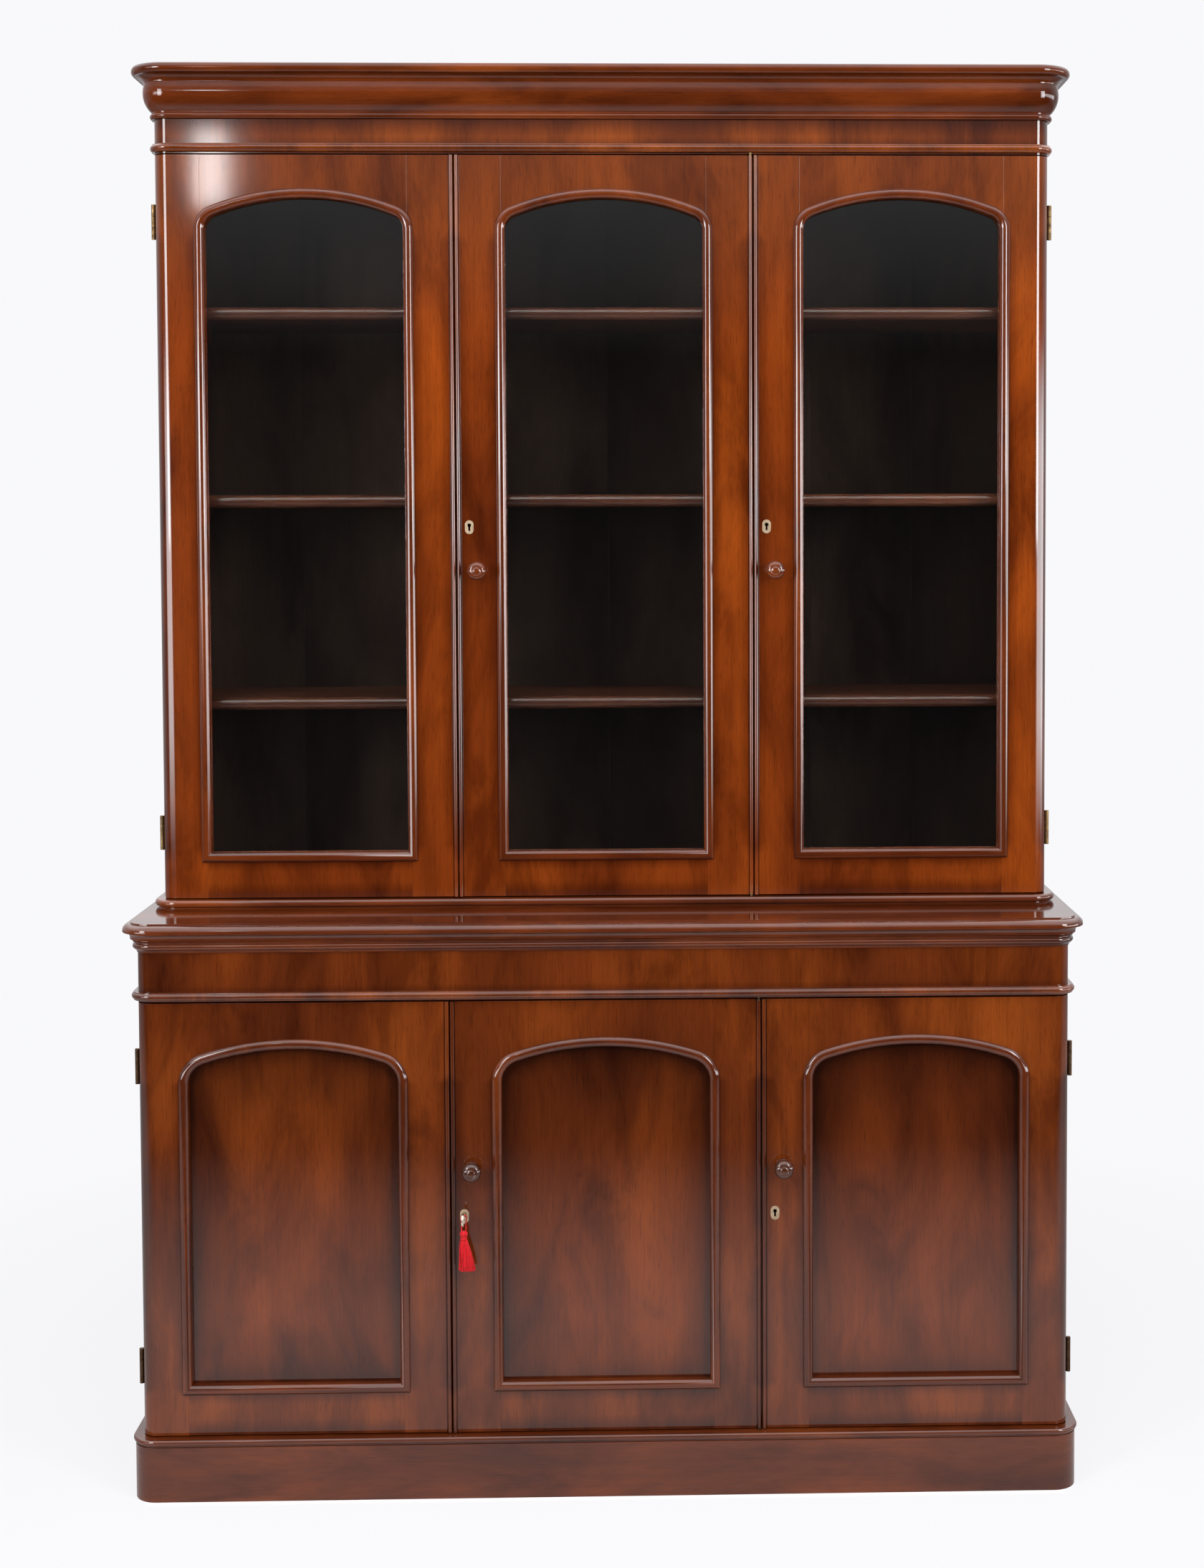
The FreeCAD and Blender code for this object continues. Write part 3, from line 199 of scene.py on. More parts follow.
# %% Material helpers
def new_material(name):
    made = bpy.data.materials.new(name)
    made.use_nodes = True
    return made, made.node_tree, made.node_tree.nodes["Principled BSDF"]


def blend_shaders(tree, factor, first, second):
    both = add_node(tree, "ShaderNodeMixShader", {0: factor, 1: first.outputs[0], 2: second.outputs[0]})
    link(tree, both.outputs["Shader"], tree.nodes["Material Output"].inputs["Surface"])


print("material helpers ready")

# %% [markdown]
# ## The figure of mahogany
# Old mahogany shows several things at once: broad ribbons that drift along the board, a mottle that glows
# orange where the light catches it, dark clouds, fine dark streaks, and short dark pores. All of them are
# noise that is stretched differently along the grain. They are built once, in a node group, and each
# material places that group with its own tones. Ribbons, mottle and drift choose between a dark, a middle
# and a glowing tone. Clouds, streaks and pores tint it. Pores also make the bump, and ribbons the
# roughness under the polish.

# %% Mahogany node group
FIGURE_INPUTS = (("Place", "NodeSocketVector"), ("Dark", "NodeSocketColor"), ("Middle", "NodeSocketColor"),
                 ("Glow", "NodeSocketColor"), ("Mottle", "NodeSocketFloat"))
FIGURE_OUTPUTS = (("Colour", "NodeSocketColor"), ("Height", "NodeSocketFloat"), ("Roughness", "NodeSocketFloat"))
# Stretch across and along the grain, detail, roughness and twist of each noise.
FIGURE = {
    "ribbons": ((8, 8, 0.8), 3.0, 0.5, 0.5),
    "mottle": ((6, 6, 3.2), 2.0, 0.45, 0.25),
    "drift": ((1.7, 1.7, 1.3), 2.0, 0.55, 0.0),
    "streaks": ((210, 210, 3.5), 3.0, 0.65, 0.0),
    "pores": ((900, 900, 34), 2.0, 0.5, 0.0),
    "clouds": ((10, 10, 3.4), 4.0, 0.6, 0.7),
}
# How much each tint counts, and its colours from low to high noise.
TINTS = {
    "clouds": (0.9, ((0.32, (0.46, 0.40, 0.40)), (0.53, (1, 1, 1)), (0.70, (1.26, 1.28, 1.2)))),
    "streaks": (0.34, ((0.30, (0.62, 0.55, 0.52)), (0.55, (1, 1, 1)), (0.8, (1.1, 1.08, 1.05)))),
    "pores": (0.5, ((0.33, (0.45, 0.38, 0.36)), (0.43, (1, 1, 1)))),
}


def build_mahogany():
    tree = bpy.data.node_groups.new("mahogany_figure", "ShaderNodeTree")
    for way, sockets in (("INPUT", FIGURE_INPUTS), ("OUTPUT", FIGURE_OUTPUTS)):
        for name, kind in sockets:
            tree.interface.new_socket(name, in_out=way, socket_type=kind)
    given = add_node(tree, "NodeGroupInput").outputs
    noise = {name: stretched_noise(tree, given["Place"], *how) for name, how in FIGURE.items()}

    mottle = calc(tree, "MULTIPLY", noise["mottle"], given["Mottle"])
    share = calc(tree, "DIVIDE", calc(tree, "ADD", noise["ribbons"], mottle, noise["drift"]),
                 calc(tree, "ADD", given["Mottle"], 2.0))
    colour = mix(tree, "MIX", remap(tree, share, 0.34, 0.52, 0, 1), given["Dark"], given["Middle"])
    colour = mix(tree, "MIX", remap(tree, share, 0.50, 0.68, 0, 1), colour, given["Glow"])
    for name, (amount, stops) in TINTS.items():
        colour = mix(tree, "MULTIPLY", amount, colour, ramp(tree, noise[name], stops))
    add_node(tree, "NodeGroupOutput", {
        "Colour": colour, "Height": remap(tree, noise["pores"], 0.3, 0.45, 0, 1),
        "Roughness": remap(tree, noise["ribbons"], 0.3, 0.7, 0.40, 0.30)})
    return tree


mahogany_figure = build_mahogany()
print("mahogany group:", len(mahogany_figure.nodes), "nodes")

# %% [markdown]
# ## Painted shade and light
# Two tints paint light and shade into the wood's colour. One darkens a panel towards its sides, its foot and
# its arch, as painted shade where the moulding shades the sunk panel. It also lightens the panel low down and
# darkens it higher up: painted light from the pale floor below, painted shade above. The other darkens the
# long edges of a board beside a door's opening, as painted shade beside the reeds and mouldings. It also
# darkens everything above 2 m, such as the crowns of the upper doors.

# %% Two tints
PANEL_RISE = 0.075
panel_lo, panel_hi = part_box("lower_left_panel")
PANEL_HALF = (panel_hi.x - panel_lo.x) / 2
# Painted shade: a panel is darkened towards its moulding, where the moulding shades it.
RIM = (0.006, 0.11)
RIM_SHADE_TINT = ((0.0, (0.45, 0.41, 0.40)), (0.30, (0.76, 0.73, 0.72)), (1.0, (1.1, 1.1, 1.1)))
# Painted light and shade by height: a panel is lighter near its foot, as if lit by the pale floor, and darker
# higher up.
HEIGHT_SHADING_SPAN = (0.05, 0.50)
HEIGHT_SHADING_TINT = ((0.0, (1.50, 1.42, 1.3)), (1.0, (0.77, 0.74, 0.74)))
# Painted shade: a board is darkened along its long edges, where reeds and mouldings shade it, but not past the
# ends of the door's opening.
BOARD_EDGE = (0.008, 0.028)
EDGE_SHADE_TINT = ((0.0, (0.58, 0.52, 0.50)), (1.0, (1.06, 1.06, 1.06)))
OPENING_END, PAST_OPENING = (0.96, 1.04), 0.03
# Everything above 2 m, such as the crowns of the upper doors, is darkened.
CROWN_HEIGHT = (2.0, 2.2)
CROWN_TINT = ((0.0, (1, 1, 1)), (1.0, (0.76, 0.84, 0.90)))


def panel_painted_shade_and_light(tree):
    """A tint for a panel, from its attribute `inset`: painted shade towards its sides, foot and arch, painted
    light low down and painted shade higher up.
    """
    across, from_foot, from_top = split_xyz(tree, carried(tree, "inset"))
    share = calc(tree, "DIVIDE", across, PANEL_HALF)
    beside = calc(tree, "SUBTRACT", 1.0, calc(tree, "MULTIPLY", share, share))
    arch = calc(tree, "SQRT", calc(tree, "MAXIMUM", 0.0, beside))
    drop = calc(tree, "MULTIPLY", PANEL_RISE, calc(tree, "SUBTRACT", 1.0, arch))
    nearest = calc(tree, "MINIMUM", calc(tree, "SUBTRACT", PANEL_HALF, calc(tree, "ABSOLUTE", across)),
                   from_foot, calc(tree, "SUBTRACT", from_top, drop))
    rim = ramp(tree, remap(tree, nearest, *RIM, 0, 1), RIM_SHADE_TINT)
    # Painted light low down, painted shade higher up.
    height_shading = ramp(tree, remap(tree, from_foot, *HEIGHT_SHADING_SPAN, 0, 1), HEIGHT_SHADING_TINT)
    return mix(tree, "MULTIPLY", 1.0, rim, height_shading)


def board_edge_shade_and_crown_tint(tree):
    """A tint for a board, from its attribute `edge_shade_measure` and its height: painted shade along its long
    edges, and darker above 2 m.
    """
    across, half, level = split_xyz(tree, carried(tree, "edge_shade_measure"))
    past_opening = remap(tree, calc(tree, "ABSOLUTE", level), *OPENING_END, 0, PAST_OPENING)
    nearest = calc(tree, "ADD", past_opening, calc(tree, "SUBTRACT", half, calc(tree, "ABSOLUTE", across)))
    edges = ramp(tree, remap(tree, nearest, *BOARD_EDGE, 0, 1), EDGE_SHADE_TINT)
    height = split_xyz(tree, object_place(tree))[2]
    crown = ramp(tree, remap(tree, height, *CROWN_HEIGHT, 0, 1), CROWN_TINT)
    return mix(tree, "MULTIPLY", 1.0, edges, crown)


print("panels are", round(2 * PANEL_HALF, 3), "m wide")

# %% [markdown]
# ## Wood finishes
# The polish is the main thing on this piece: thin shellac rubbed until it shines. A clear coat over the
# wood gives that. Doors, panels, mouldings, lower knobs, the cornice, the base, the inside and the rear
# differ in tone and in how much they shine, so each gets its own material from the same group. The base,
# the lower knobs, the boards inside and the inner faces of the back are darker than the rest: painted shade,
# for the light that reaches the lower stage and the inside of the case less.

# %% Wood materials
COAT_ROUGHNESS = 0.08
PORE_DEPTH = 0.0003


def wood_finish(name, dark, middle, glow, mottle, polish, bump, painted_shading=None):
    made, tree, shader = new_material(name)
    figure = add_node(tree, "ShaderNodeGroup", {"Place": carried(tree, "grain"), "Dark": dark, "Middle": middle,
                                                "Glow": glow, "Mottle": mottle}, node_tree=mahogany_figure)
    colour = figure.outputs["Colour"]
    if painted_shading:
        colour = mix(tree, "MULTIPLY", 1.0, colour, painted_shading(tree))
    wire(tree, shader, {"Base Color": colour, "Roughness": figure.outputs["Roughness"],
                        "Normal": bump_normal(tree, figure.outputs["Height"], bump, PORE_DEPTH),
                        "Coat Weight": polish, "Coat Roughness": COAT_ROUGHNESS, "Specular IOR Level": 0.0})
    return made


# Name, dark, middle and glowing tone, share of mottle, polish, bump and painted shading.
WOOD = {
    "mahogany": wood_finish("polished mahogany", (0.078, 0.0125, 0.0022), (0.148, 0.0268, 0.0030),
                            (0.238, 0.0480, 0.0050), 0.8, 0.9, 0.10, board_edge_shade_and_crown_tint),
    "moulding": wood_finish("polished moulding", (0.052, 0.0098, 0.0028), (0.098, 0.0188, 0.0040),
                            (0.170, 0.0360, 0.0062), 0.5, 0.9, 0.08),
    "flame_panel": wood_finish("figured panel", (0.056, 0.0106, 0.0024), (0.090, 0.0180, 0.0030),
                               (0.138, 0.0300, 0.0046), 0.6, 0.9, 0.08, panel_painted_shade_and_light),
    # Painted shade: the lower knobs are darker than the upper ones, as on the base.
    "knob": wood_finish("dark turned mahogany in painted shade", (0.026, 0.0060, 0.0020), (0.048, 0.0100, 0.0030),
                        (0.080, 0.0180, 0.0044), 0.5, 1.0, 0.06),
    "cornice": wood_finish("cornice mahogany", (0.044, 0.0080, 0.0020), (0.084, 0.0155, 0.0028),
                           (0.150, 0.0310, 0.0046), 0.6, 0.6, 0.08),
    # Painted shade: the base is a darker copy of the mahogany, as the lower stage gets less light.
    "base": wood_finish("base mahogany in painted shade", (0.050, 0.0092, 0.0024), (0.096, 0.0185, 0.0033),
                        (0.180, 0.0390, 0.0056), 0.8, 0.9, 0.10, board_edge_shade_and_crown_tint),
    "inside": wood_finish("shaded inside", (0.020, 0.0066, 0.0042), (0.038, 0.0118, 0.0066),
                          (0.060, 0.0190, 0.0098), 0.5, 0.5, 0.12),
    # Painted shade: the inner faces of the back are nearly black, for the shade inside the case.
    "back_boards": wood_finish("unpolished inside in painted shade", (0.0075, 0.0048, 0.0040), (0.0140, 0.0086, 0.0070),
                               (0.0210, 0.0130, 0.0104), 0.4, 0.1, 0.30),
    "rear": wood_finish("plain rear", (0.080, 0.036, 0.017), (0.140, 0.064, 0.030),
                        (0.200, 0.098, 0.048), 0.4, 0.0, 0.40),
}


def stage_tone_with_painted_shade(name):
    """The lower stage is a little darker than the upper one: painted shade, as the light falls from above."""
    return WOOD["base" if name.startswith(("base", "lower")) else "mahogany"]


print("wood finishes:", ", ".join(WOOD))

# %% [markdown]
# ## Brass, steel, glass and silk
# Brass that is handled has bright rubbed patches and duller hollows, so noise drives its roughness and
# darkens its colour a little. The panes are clear glass with the faintest smears. Light has to reach the
# shelves through them, so for shadow rays the pane counts as clear. The silk has a fine twist and a sheen.

# %% Metal, glass and silk materials
TARNISH_SPREAD = 0.22


def metal_finish(name, colour, tarnish, rough, metallic=1.0):
    made, tree, shader = new_material(name)
    place = object_place(tree)
    cloud = stretched_noise(tree, place, (120, 120, 120), 4.0, 0.6)
    scratches = stretched_noise(tree, place, (2600, 300, 2600), 2.0)
    wire(tree, shader, {"Base Color": mix(tree, "MIX", remap(tree, cloud, 0.35, 0.7, 0, 1), colour, tarnish),
                        "Roughness": remap(tree, cloud, 0.3, 0.7, rough, rough + TARNISH_SPREAD),
                        "Normal": bump_normal(tree, scratches, 0.12, 0.0002), "Metallic": metallic})
    return made


def glass_finish():
    made, tree, shader = new_material("clear pane")
    smears = stretched_noise(tree, object_place(tree), (9, 9, 3), 4.0, 0.65, 1.2)
    wire(tree, shader, {"Roughness": remap(tree, smears, 0.45, 0.8, 0.0, 0.05),
                        "Base Color": (0.94, 0.97, 0.95), "Transmission Weight": 1.0, "IOR": 1.48})
    clear = add_node(tree, "ShaderNodeBsdfTransparent", {"Color": (0.9, 0.93, 0.91)})
    path = add_node(tree, "ShaderNodeLightPath")
    blend_shaders(tree, path.outputs["Is Shadow Ray"], shader, clear)
    return made


def silk_finish():
    made, tree, shader = new_material("red silk")
    place = object_place(tree)
    threads = stretched_noise(tree, place, (900, 900, 60), 3.0, 0.6)
    twist = add_node(tree, "ShaderNodeTexWave", {"Vector": place, "Scale": 260.0, "Distortion": 1.5,
                                                 "Detail": 1.0}, bands_direction="DIAGONAL")
    tone = ramp(tree, threads, ((0.3, (0.26, 0.002, 0.006)), (0.55, (0.60, 0.004, 0.010)),
                                (0.8, (0.76, 0.020, 0.030))))
    wire(tree, shader, {"Base Color": tone, "Roughness": remap(tree, threads, 0.3, 0.7, 0.42, 0.62),
                        "Normal": bump_normal(tree, twist.outputs["Fac"], 0.35, 0.0003),
                        "Sheen Weight": 0.1, "Specular IOR Level": 0.2})
    return made


brass = metal_finish("old brass", (0.20, 0.125, 0.055), (0.070, 0.042, 0.022), 0.42)
dull_brass = metal_finish("dull brass", (0.075, 0.042, 0.024), (0.035, 0.020, 0.012), 0.50)
rubbed_brass = metal_finish("rubbed brass", (0.40, 0.30, 0.20), (0.22, 0.155, 0.095), 0.40, 0.75)
steel = metal_finish("key steel", (0.66, 0.60, 0.50), (0.40, 0.34, 0.27), 0.20)
glass = glass_finish()
silk = silk_finish()
print("made", ", ".join(m.name for m in (brass, dull_brass, rubbed_brass, steel, glass, silk)))

# %% [markdown]
# ## The tassel's cord
# A short red cord loops over the stem of the key and carries the tassel. It is a limp thing 1.8 mm thick,
# so its line is one smooth spline through the loop's few turning points, with round section.

# %% Cord loop
KEY = Vector((-0.24067, -0.2125, 0.485))
TASSEL_Y = KEY.y - 0.017
CORD_RADIUS, CORD_DROP, LOOP = 0.0009, 0.024, 0.0037
SHOULDER, BULGE = 0.011, 1.36 * LOOP
loop_route = [(LOOP, -CORD_DROP), (LOOP, -SHOULDER), (BULGE, LOOP), (-BULGE, LOOP), (-LOOP, -SHOULDER),
              (-LOOP, -CORD_DROP)]


def silk_line(name, points, radius, sides=3, steps=8):
    data = bpy.data.curves.new(name, "CURVE")
    data.dimensions = "3D"
    data.bevel_depth = radius
    data.bevel_resolution = sides
    data.resolution_u = steps
    line = data.splines.new("NURBS")
    line.points.add(len(points) - 1)
    for point, place in zip(line.points, points):
        point.co = (*place, 1)
    line.order_u = 3
    line.use_endpoint_u = True
    return place_in_scene(name, data)


loop_points = [(KEY.x + x, TASSEL_Y, KEY.z + z) for x, z in loop_route]
cord = silk_line("tassel_cord", loop_points, CORD_RADIUS)
cord.data.materials.append(silk)
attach(cord, "tassel")
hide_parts("tassel")
print("cord loop with", len(loop_points), "turning points")

# %% [markdown]
# ## The floor
# The floor is pale, and what it shows depends on who looks. For the eye it is nearly white: near the piece
# it keeps a soft shadow, further out it turns as white as the surround, and right under the piece it stays
# dull, so that nothing shines through a joint. In reflections it fades out between one and two metres in
# front of the doors, so its pale image ends part of the way up the lower doors.

# %% Floor
FLOOR_WHITE = (0.86, 0.86, 0.87)
FLOOR_GREY = (0.56, 0.56, 0.56)
FLOOR_DARK = (0.01, 0.01, 0.01)
SURROUND = (0.945, 0.945, 0.965)
FADE_START, FADE_END, FADE_MOST = -1.05, -2.3, 0.97
UNDER_HALF_WIDTH, UNDER_HALF_DEPTH = 0.78, 0.24
SHADOW_REACH = (0.9, 2.2)
WHITE_SHARE = (0.86, 1.0)
FLOOR_MIDDLE, FLOOR_SIZE = (0, 1.5, 0), (18, 11, 1)


def floor_finish():
    made, tree, shader = new_material("studio floor")
    place = object_place(tree)
    x, y, _ = split_xyz(tree, place)
    ray = add_node(tree, "ShaderNodeLightPath").outputs
    away = remap(tree, y, FADE_START, FADE_END, 0, FADE_MOST)
    pale = mix(tree, "MIX", calc(tree, "MULTIPLY", away, ray["Is Glossy Ray"]), FLOOR_WHITE, FLOOR_DARK)
    wire(tree, shader, {"Base Color": mix(tree, "MIX", ray["Is Diffuse Ray"], pale, FLOOR_GREY),
                        "Roughness": 0.7, "Specular IOR Level": 0.0})
    white = add_node(tree, "ShaderNodeEmission", {"Color": SURROUND})
    reach = add_node(tree, "ShaderNodeVectorMath", {0: place}, operation="LENGTH").outputs["Value"]
    seen = calc(tree, "MAXIMUM", ray["Is Camera Ray"], ray["Is Transmission Ray"])
    beside = [calc(tree, "GREATER_THAN", calc(tree, "ABSOLUTE", way), limit)
              for way, limit in ((x, UNDER_HALF_WIDTH), (y, UNDER_HALF_DEPTH))]
    eye = calc(tree, "MULTIPLY", seen, calc(tree, "MAXIMUM", *beside),
               remap(tree, reach, *SHADOW_REACH, *WHITE_SHARE))
    blend_shaders(tree, eye, shader, white)
    return made


bpy.ops.object.select_all(action="DESELECT")
bpy.ops.mesh.primitive_plane_add(size=1, location=FLOOR_MIDDLE)
floor = bpy.context.object
floor.name = "studio_floor"
floor.scale = FLOOR_SIZE
bpy.ops.object.transform_apply(location=True, rotation=False, scale=True)
floor.data.materials.append(floor_finish())
print("floor of", FLOOR_SIZE[0], "by", FLOOR_SIZE[1], "m")

# %% [markdown]
# ## Lamps
# Two tall windows light the doors from both sides, and a broad lamp under the ceiling lights them from
# above. That lamp isn't seen in reflections, so the polish stays deep. One small light leaves its glint on
# a crown.

# %% Lamps
# Place, aim, width and height, and watts.
LAMPS = {
    "left_window": ((-2.5, -3.1, 2.4), (0.1, 0, 2.0), (1.1, 1.6), 95),
    "right_window": ((2.8, -3.0, 2.4), (-0.1, 0, 2.0), (1.1, 1.6), 115),
    "ceiling": ((0, -2.2, 4.2), (0, 0, 1.8), (4.0, 2.0), 120),
    "glint": ((-1.44, -3.9, 2.90), (-0.65, 0, 2.3), (0.10, 0.26), 2.2),
}


def soft_lamp(name, place, aim, size, watts):
    data = bpy.data.lights.new(name, "AREA")
    data.shape = "RECTANGLE"
    data.size, data.size_y = size
    data.energy = watts
    lamp = place_in_scene(name, data)
    lamp.location = place
    lamp.rotation_mode = "QUATERNION"
    lamp.rotation_quaternion = (Vector(aim) - Vector(place)).to_track_quat("-Z", "Y")
    lamp.visible_glossy = name != "ceiling"


for name, how in LAMPS.items():
    soft_lamp(name, *how)
print(len(LAMPS), "soft lamps")

# %% [markdown]
# ## The surround
# Polished wood shows what stands around it. A studio is white behind the piece and dark behind the viewer,
# so the world asks which way a reflection heads. To the back it is white, and the flat top of the waist
# shines beside the upper case. To the front it is nearly black, and the doors stay deep red. Two bright
# bands at the sides, at eye level, draw the lines down the reeds, the mouldings and the rounded corners,
# and a bright sky overhead draws those along the tops of the mouldings.

# %% Surround
FILL_LEVEL, EYE_LEVEL = 0.38, 1.0
BAND_STRENGTH = 12.0
LEFT_BAND = ((-0.90, -0.80), (-0.36, -0.24))
RIGHT_BAND = (0.52, 0.68)
BAND_HEIGHT = ((-0.14, -0.085), (0.04, 0.085))
BAND_DEPTH = (0.1, 0.25)
BACK_GLOW = (-0.45, 0.15, 0.03, 0.95)
LOW_SKY = (0.08, 0.18, 0, 0.45)
HIGH_SKY = (0.35, 0.75, 0, 3.2)


def between(tree, value, rise, fall):
    """1 between two soft edges, and 0 beyond them."""
    return calc(tree, "MULTIPLY", remap(tree, value, *rise, 0, 1), remap(tree, value, *fall, 1, 0))


world = bpy.data.worlds.new("surround")
bpy.context.scene.world = world
world.use_nodes = True
tree = world.node_tree
ray = add_node(tree, "ShaderNodeLightPath").outputs
heading = add_node(tree, "ShaderNodeTexCoord").outputs["Generated"]
sideways, inward, upward = split_xyz(tree, heading)
sides = calc(tree, "ADD", between(tree, sideways, *LEFT_BAND), remap(tree, sideways, *RIGHT_BAND, 0, 1))
bands = calc(tree, "MULTIPLY", sides, between(tree, upward, *BAND_HEIGHT),
             remap(tree, inward, *BAND_DEPTH, 1, 0), BAND_STRENGTH)
mirrored = calc(tree, "ADD", remap(tree, inward, *BACK_GLOW), bands, remap(tree, upward, *LOW_SKY),
                remap(tree, upward, *HIGH_SKY))
seen = calc(tree, "MAXIMUM", ray["Is Camera Ray"], ray["Is Transmission Ray"])
level = add_node(tree, "ShaderNodeMix", {"Factor": ray["Is Glossy Ray"], "B": mirrored,
                                         "A": remap(tree, seen, 0, 1, FILL_LEVEL, EYE_LEVEL)})
wire(tree, tree.nodes["Background"], {"Color": SURROUND, "Strength": level.outputs["Result"]})
bpy.context.scene.view_settings.view_transform = "Standard"
print("surround:", len(tree.nodes), "nodes")

# %% [markdown]
# ## From solids to boards
# Each node's mesh is a bag of loose triangles that holds one or more closed solids, one after another.
# Welding the whole bag would join boards that only touch, and a rail would grow into a stile. So the
# triangles are read in order, and each time every edge has found its partner a solid is complete. Each
# solid is welded on its own and becomes a board with its own grain.

# %% Read the solids of a node
def solids_of(node):
    mesh = nodes[node].data
    corner = [tuple(round(c, 7) for c in v.co) for v in mesh.vertices]
    done, faces, open_edges = [], [], set()
    for polygon in mesh.polygons:
        face = [corner[i] for i in polygon.vertices]
        faces.append(face)
        for a, b in zip(face, face[1:] + face[:1]):
            if (b, a) in open_edges:
                open_edges.remove((b, a))
            else:
                open_edges.add((a, b))
        if not open_edges:
            done.append(faces)
            faces = []
    if faces:
        done.append(faces)
    return done


def extent(points):
    """The lowest and the highest corner of the box round some points."""
    columns = list(zip(*points))
    return Vector([min(c) for c in columns]), Vector([max(c) for c in columns])


def solid_extent(solid):
    return extent([p for face in solid for p in face])


def box_of(obj):
    return extent([tuple(v.co) for v in obj.data.vertices])


counts = {name: len(solids_of(name)) for name in ("plinth", "lower_middle_frame", "case_shelves")}
print("solids read:", counts)

# %% [markdown]
# ## Grain
# A joiner runs the grain along the length of a board, so by default it follows the longest side of each
# solid. Two things differ: the doors and the friezes are veneered with the grain upright, and a moulding's
# grain follows the moulding round a corner or over an arch. Most boards start at their own place in the
# pattern, so no two repeat. A door's frame is cut from one sheet, so its joints hardly show.

# %% Grain rules
TURN = 0.075
ARCH_RISE, ARCH_STRETCH = 0.11, 1.4
PATTERN = 20
SPREAD = random.Random(7)


def along_longest(lo, hi):
    size = hi - lo
    axis = max(range(3), key=lambda k: size[k])
    others = [k for k in range(3) if k != axis]
    return lambda p: (p[others[0]], p[others[1]], p[axis])


def upright(lo, hi):
    return lambda p: (p[0], p[1], p[2])


def into_the_knob(lo, hi):
    return lambda p: (p[0], p[2], p[1])


def round_the_case(lo, hi):
    straight, turn_start = hi.x - TURN, lo.y + TURN

    def place(p):
        dx, dy = abs(p[0]) - straight, turn_start - p[1]
        if dx <= 0:
            run = abs(p[0])
        elif dy <= 0:
            run = straight + TURN * math.pi / 2 - dy
        else:
            run = straight + TURN * math.atan2(dx, dy)
        return (max(dx, dy), p[2], math.copysign(1, p[0]) * run)
    return place


def round_the_arch(lo, hi):
    middle = (lo.x + hi.x) / 2
    half = (hi.x - lo.x) / 2
    spring = hi.z - ARCH_RISE

    def place(p):
        x, z = p[0] - middle, p[2]
        if z > spring:
            return (math.hypot(x, z - spring), p[1], ARCH_STRETCH * half * math.atan2(x, z - spring))
        if half - abs(x) > z - lo.z:
            return (z - lo.z, p[1], x)
        return (half - abs(x), p[1], math.copysign(half, x) + z)
    return place


def fresh_place():
    return Vector([SPREAD.uniform(0, PATTERN) for _ in range(3)])


print("grain rules ready")

# %% [markdown]
# ## Easing the edges
# No polished edge is knife sharp: the plane, the sandpaper and a century of hands take it off, and that
# thin round is what catches the light. Flat triangles are first dissolved into whole faces, then a bevel
# of less than a millimetre rounds the sharp edges, and smooth shading does the curved ones.

# %% Mesh and edges
FLAT = math.radians(0.4)
SHARP = math.radians(38)
# How wide the round is, in metres.
SQUARE, HINGE_EASE, METAL_EASE, DOOR_EASE, MOULDED_EASE, BOARD_EASE = 0.0, 0.0002, 0.0003, 0.0004, 0.0006, 0.0008


def mesh_from(name, solid):
    points, faces = {}, []
    for face in solid:
        row = [points.setdefault(p, len(points)) for p in face]
        if len(set(row)) == len(row):
            faces.append(row)
    mesh = bpy.data.meshes.new(name)
    mesh.from_pydata(list(points), [], faces)
    mesh.update()
    return mesh


def apply_modifier(obj, name, kind, **settings):
    made = obj.modifiers.new(name, kind)
    for setting, value in settings.items():
        setattr(made, setting, value)
    bpy.ops.object.modifier_apply(modifier=made.name)


def ease_edges(obj, width):
    pick(obj)
    bpy.ops.object.mode_set(mode="EDIT")
    bpy.ops.mesh.select_all(action="SELECT")
    bpy.ops.mesh.dissolve_limited(angle_limit=FLAT)
    bpy.ops.object.mode_set(mode="OBJECT")
    if width:
        apply_modifier(obj, "eased edges", "BEVEL", width=width, segments=2, limit_method="ANGLE",
                       angle_limit=SHARP, use_clamp_overlap=True)
    bpy.ops.object.shade_smooth_by_angle(angle=SHARP)
    if width:
        apply_modifier(obj, "flat faces stay flat", "WEIGHTED_NORMAL", keep_sharp=True)


print("edges under", round(math.degrees(SHARP)), "degrees are shaded smooth")

# %% [markdown]
# ## What a board carries
# The materials ask each corner of a mesh for its place in the grain, and on panels and boards for its
# distance from the edges. These functions write the answers on the mesh.

# %% Attributes
NO_EDGE = 9.0
WIDEST_SHADED_HALF = 0.06
BELOW_OPENING, ABOVE_SPRING = 0.07, 0.13
SEAM = 0.00025
REARWARD = 0.5


def lay(obj, name, value_at):
    layer = obj.data.attributes.new(name, "FLOAT_VECTOR", "CORNER")
    for loop in obj.data.loops:
        layer.data[loop.index].vector = value_at(obj.data.vertices[loop.vertex_index].co)


def lay_grain(obj, rule_of, shift):
    rule = rule_of(*box_of(obj))
    lay(obj, "grain", lambda p: Vector(rule(p)) + shift)


def lay_inset(obj):
    """How far every corner is from the panel's middle line, its foot and its top, in metres."""
    lo, hi = box_of(obj)
    lay(obj, "inset", lambda p: (p.x - (lo.x + hi.x) / 2, p.z - lo.z, hi.z - p.z))


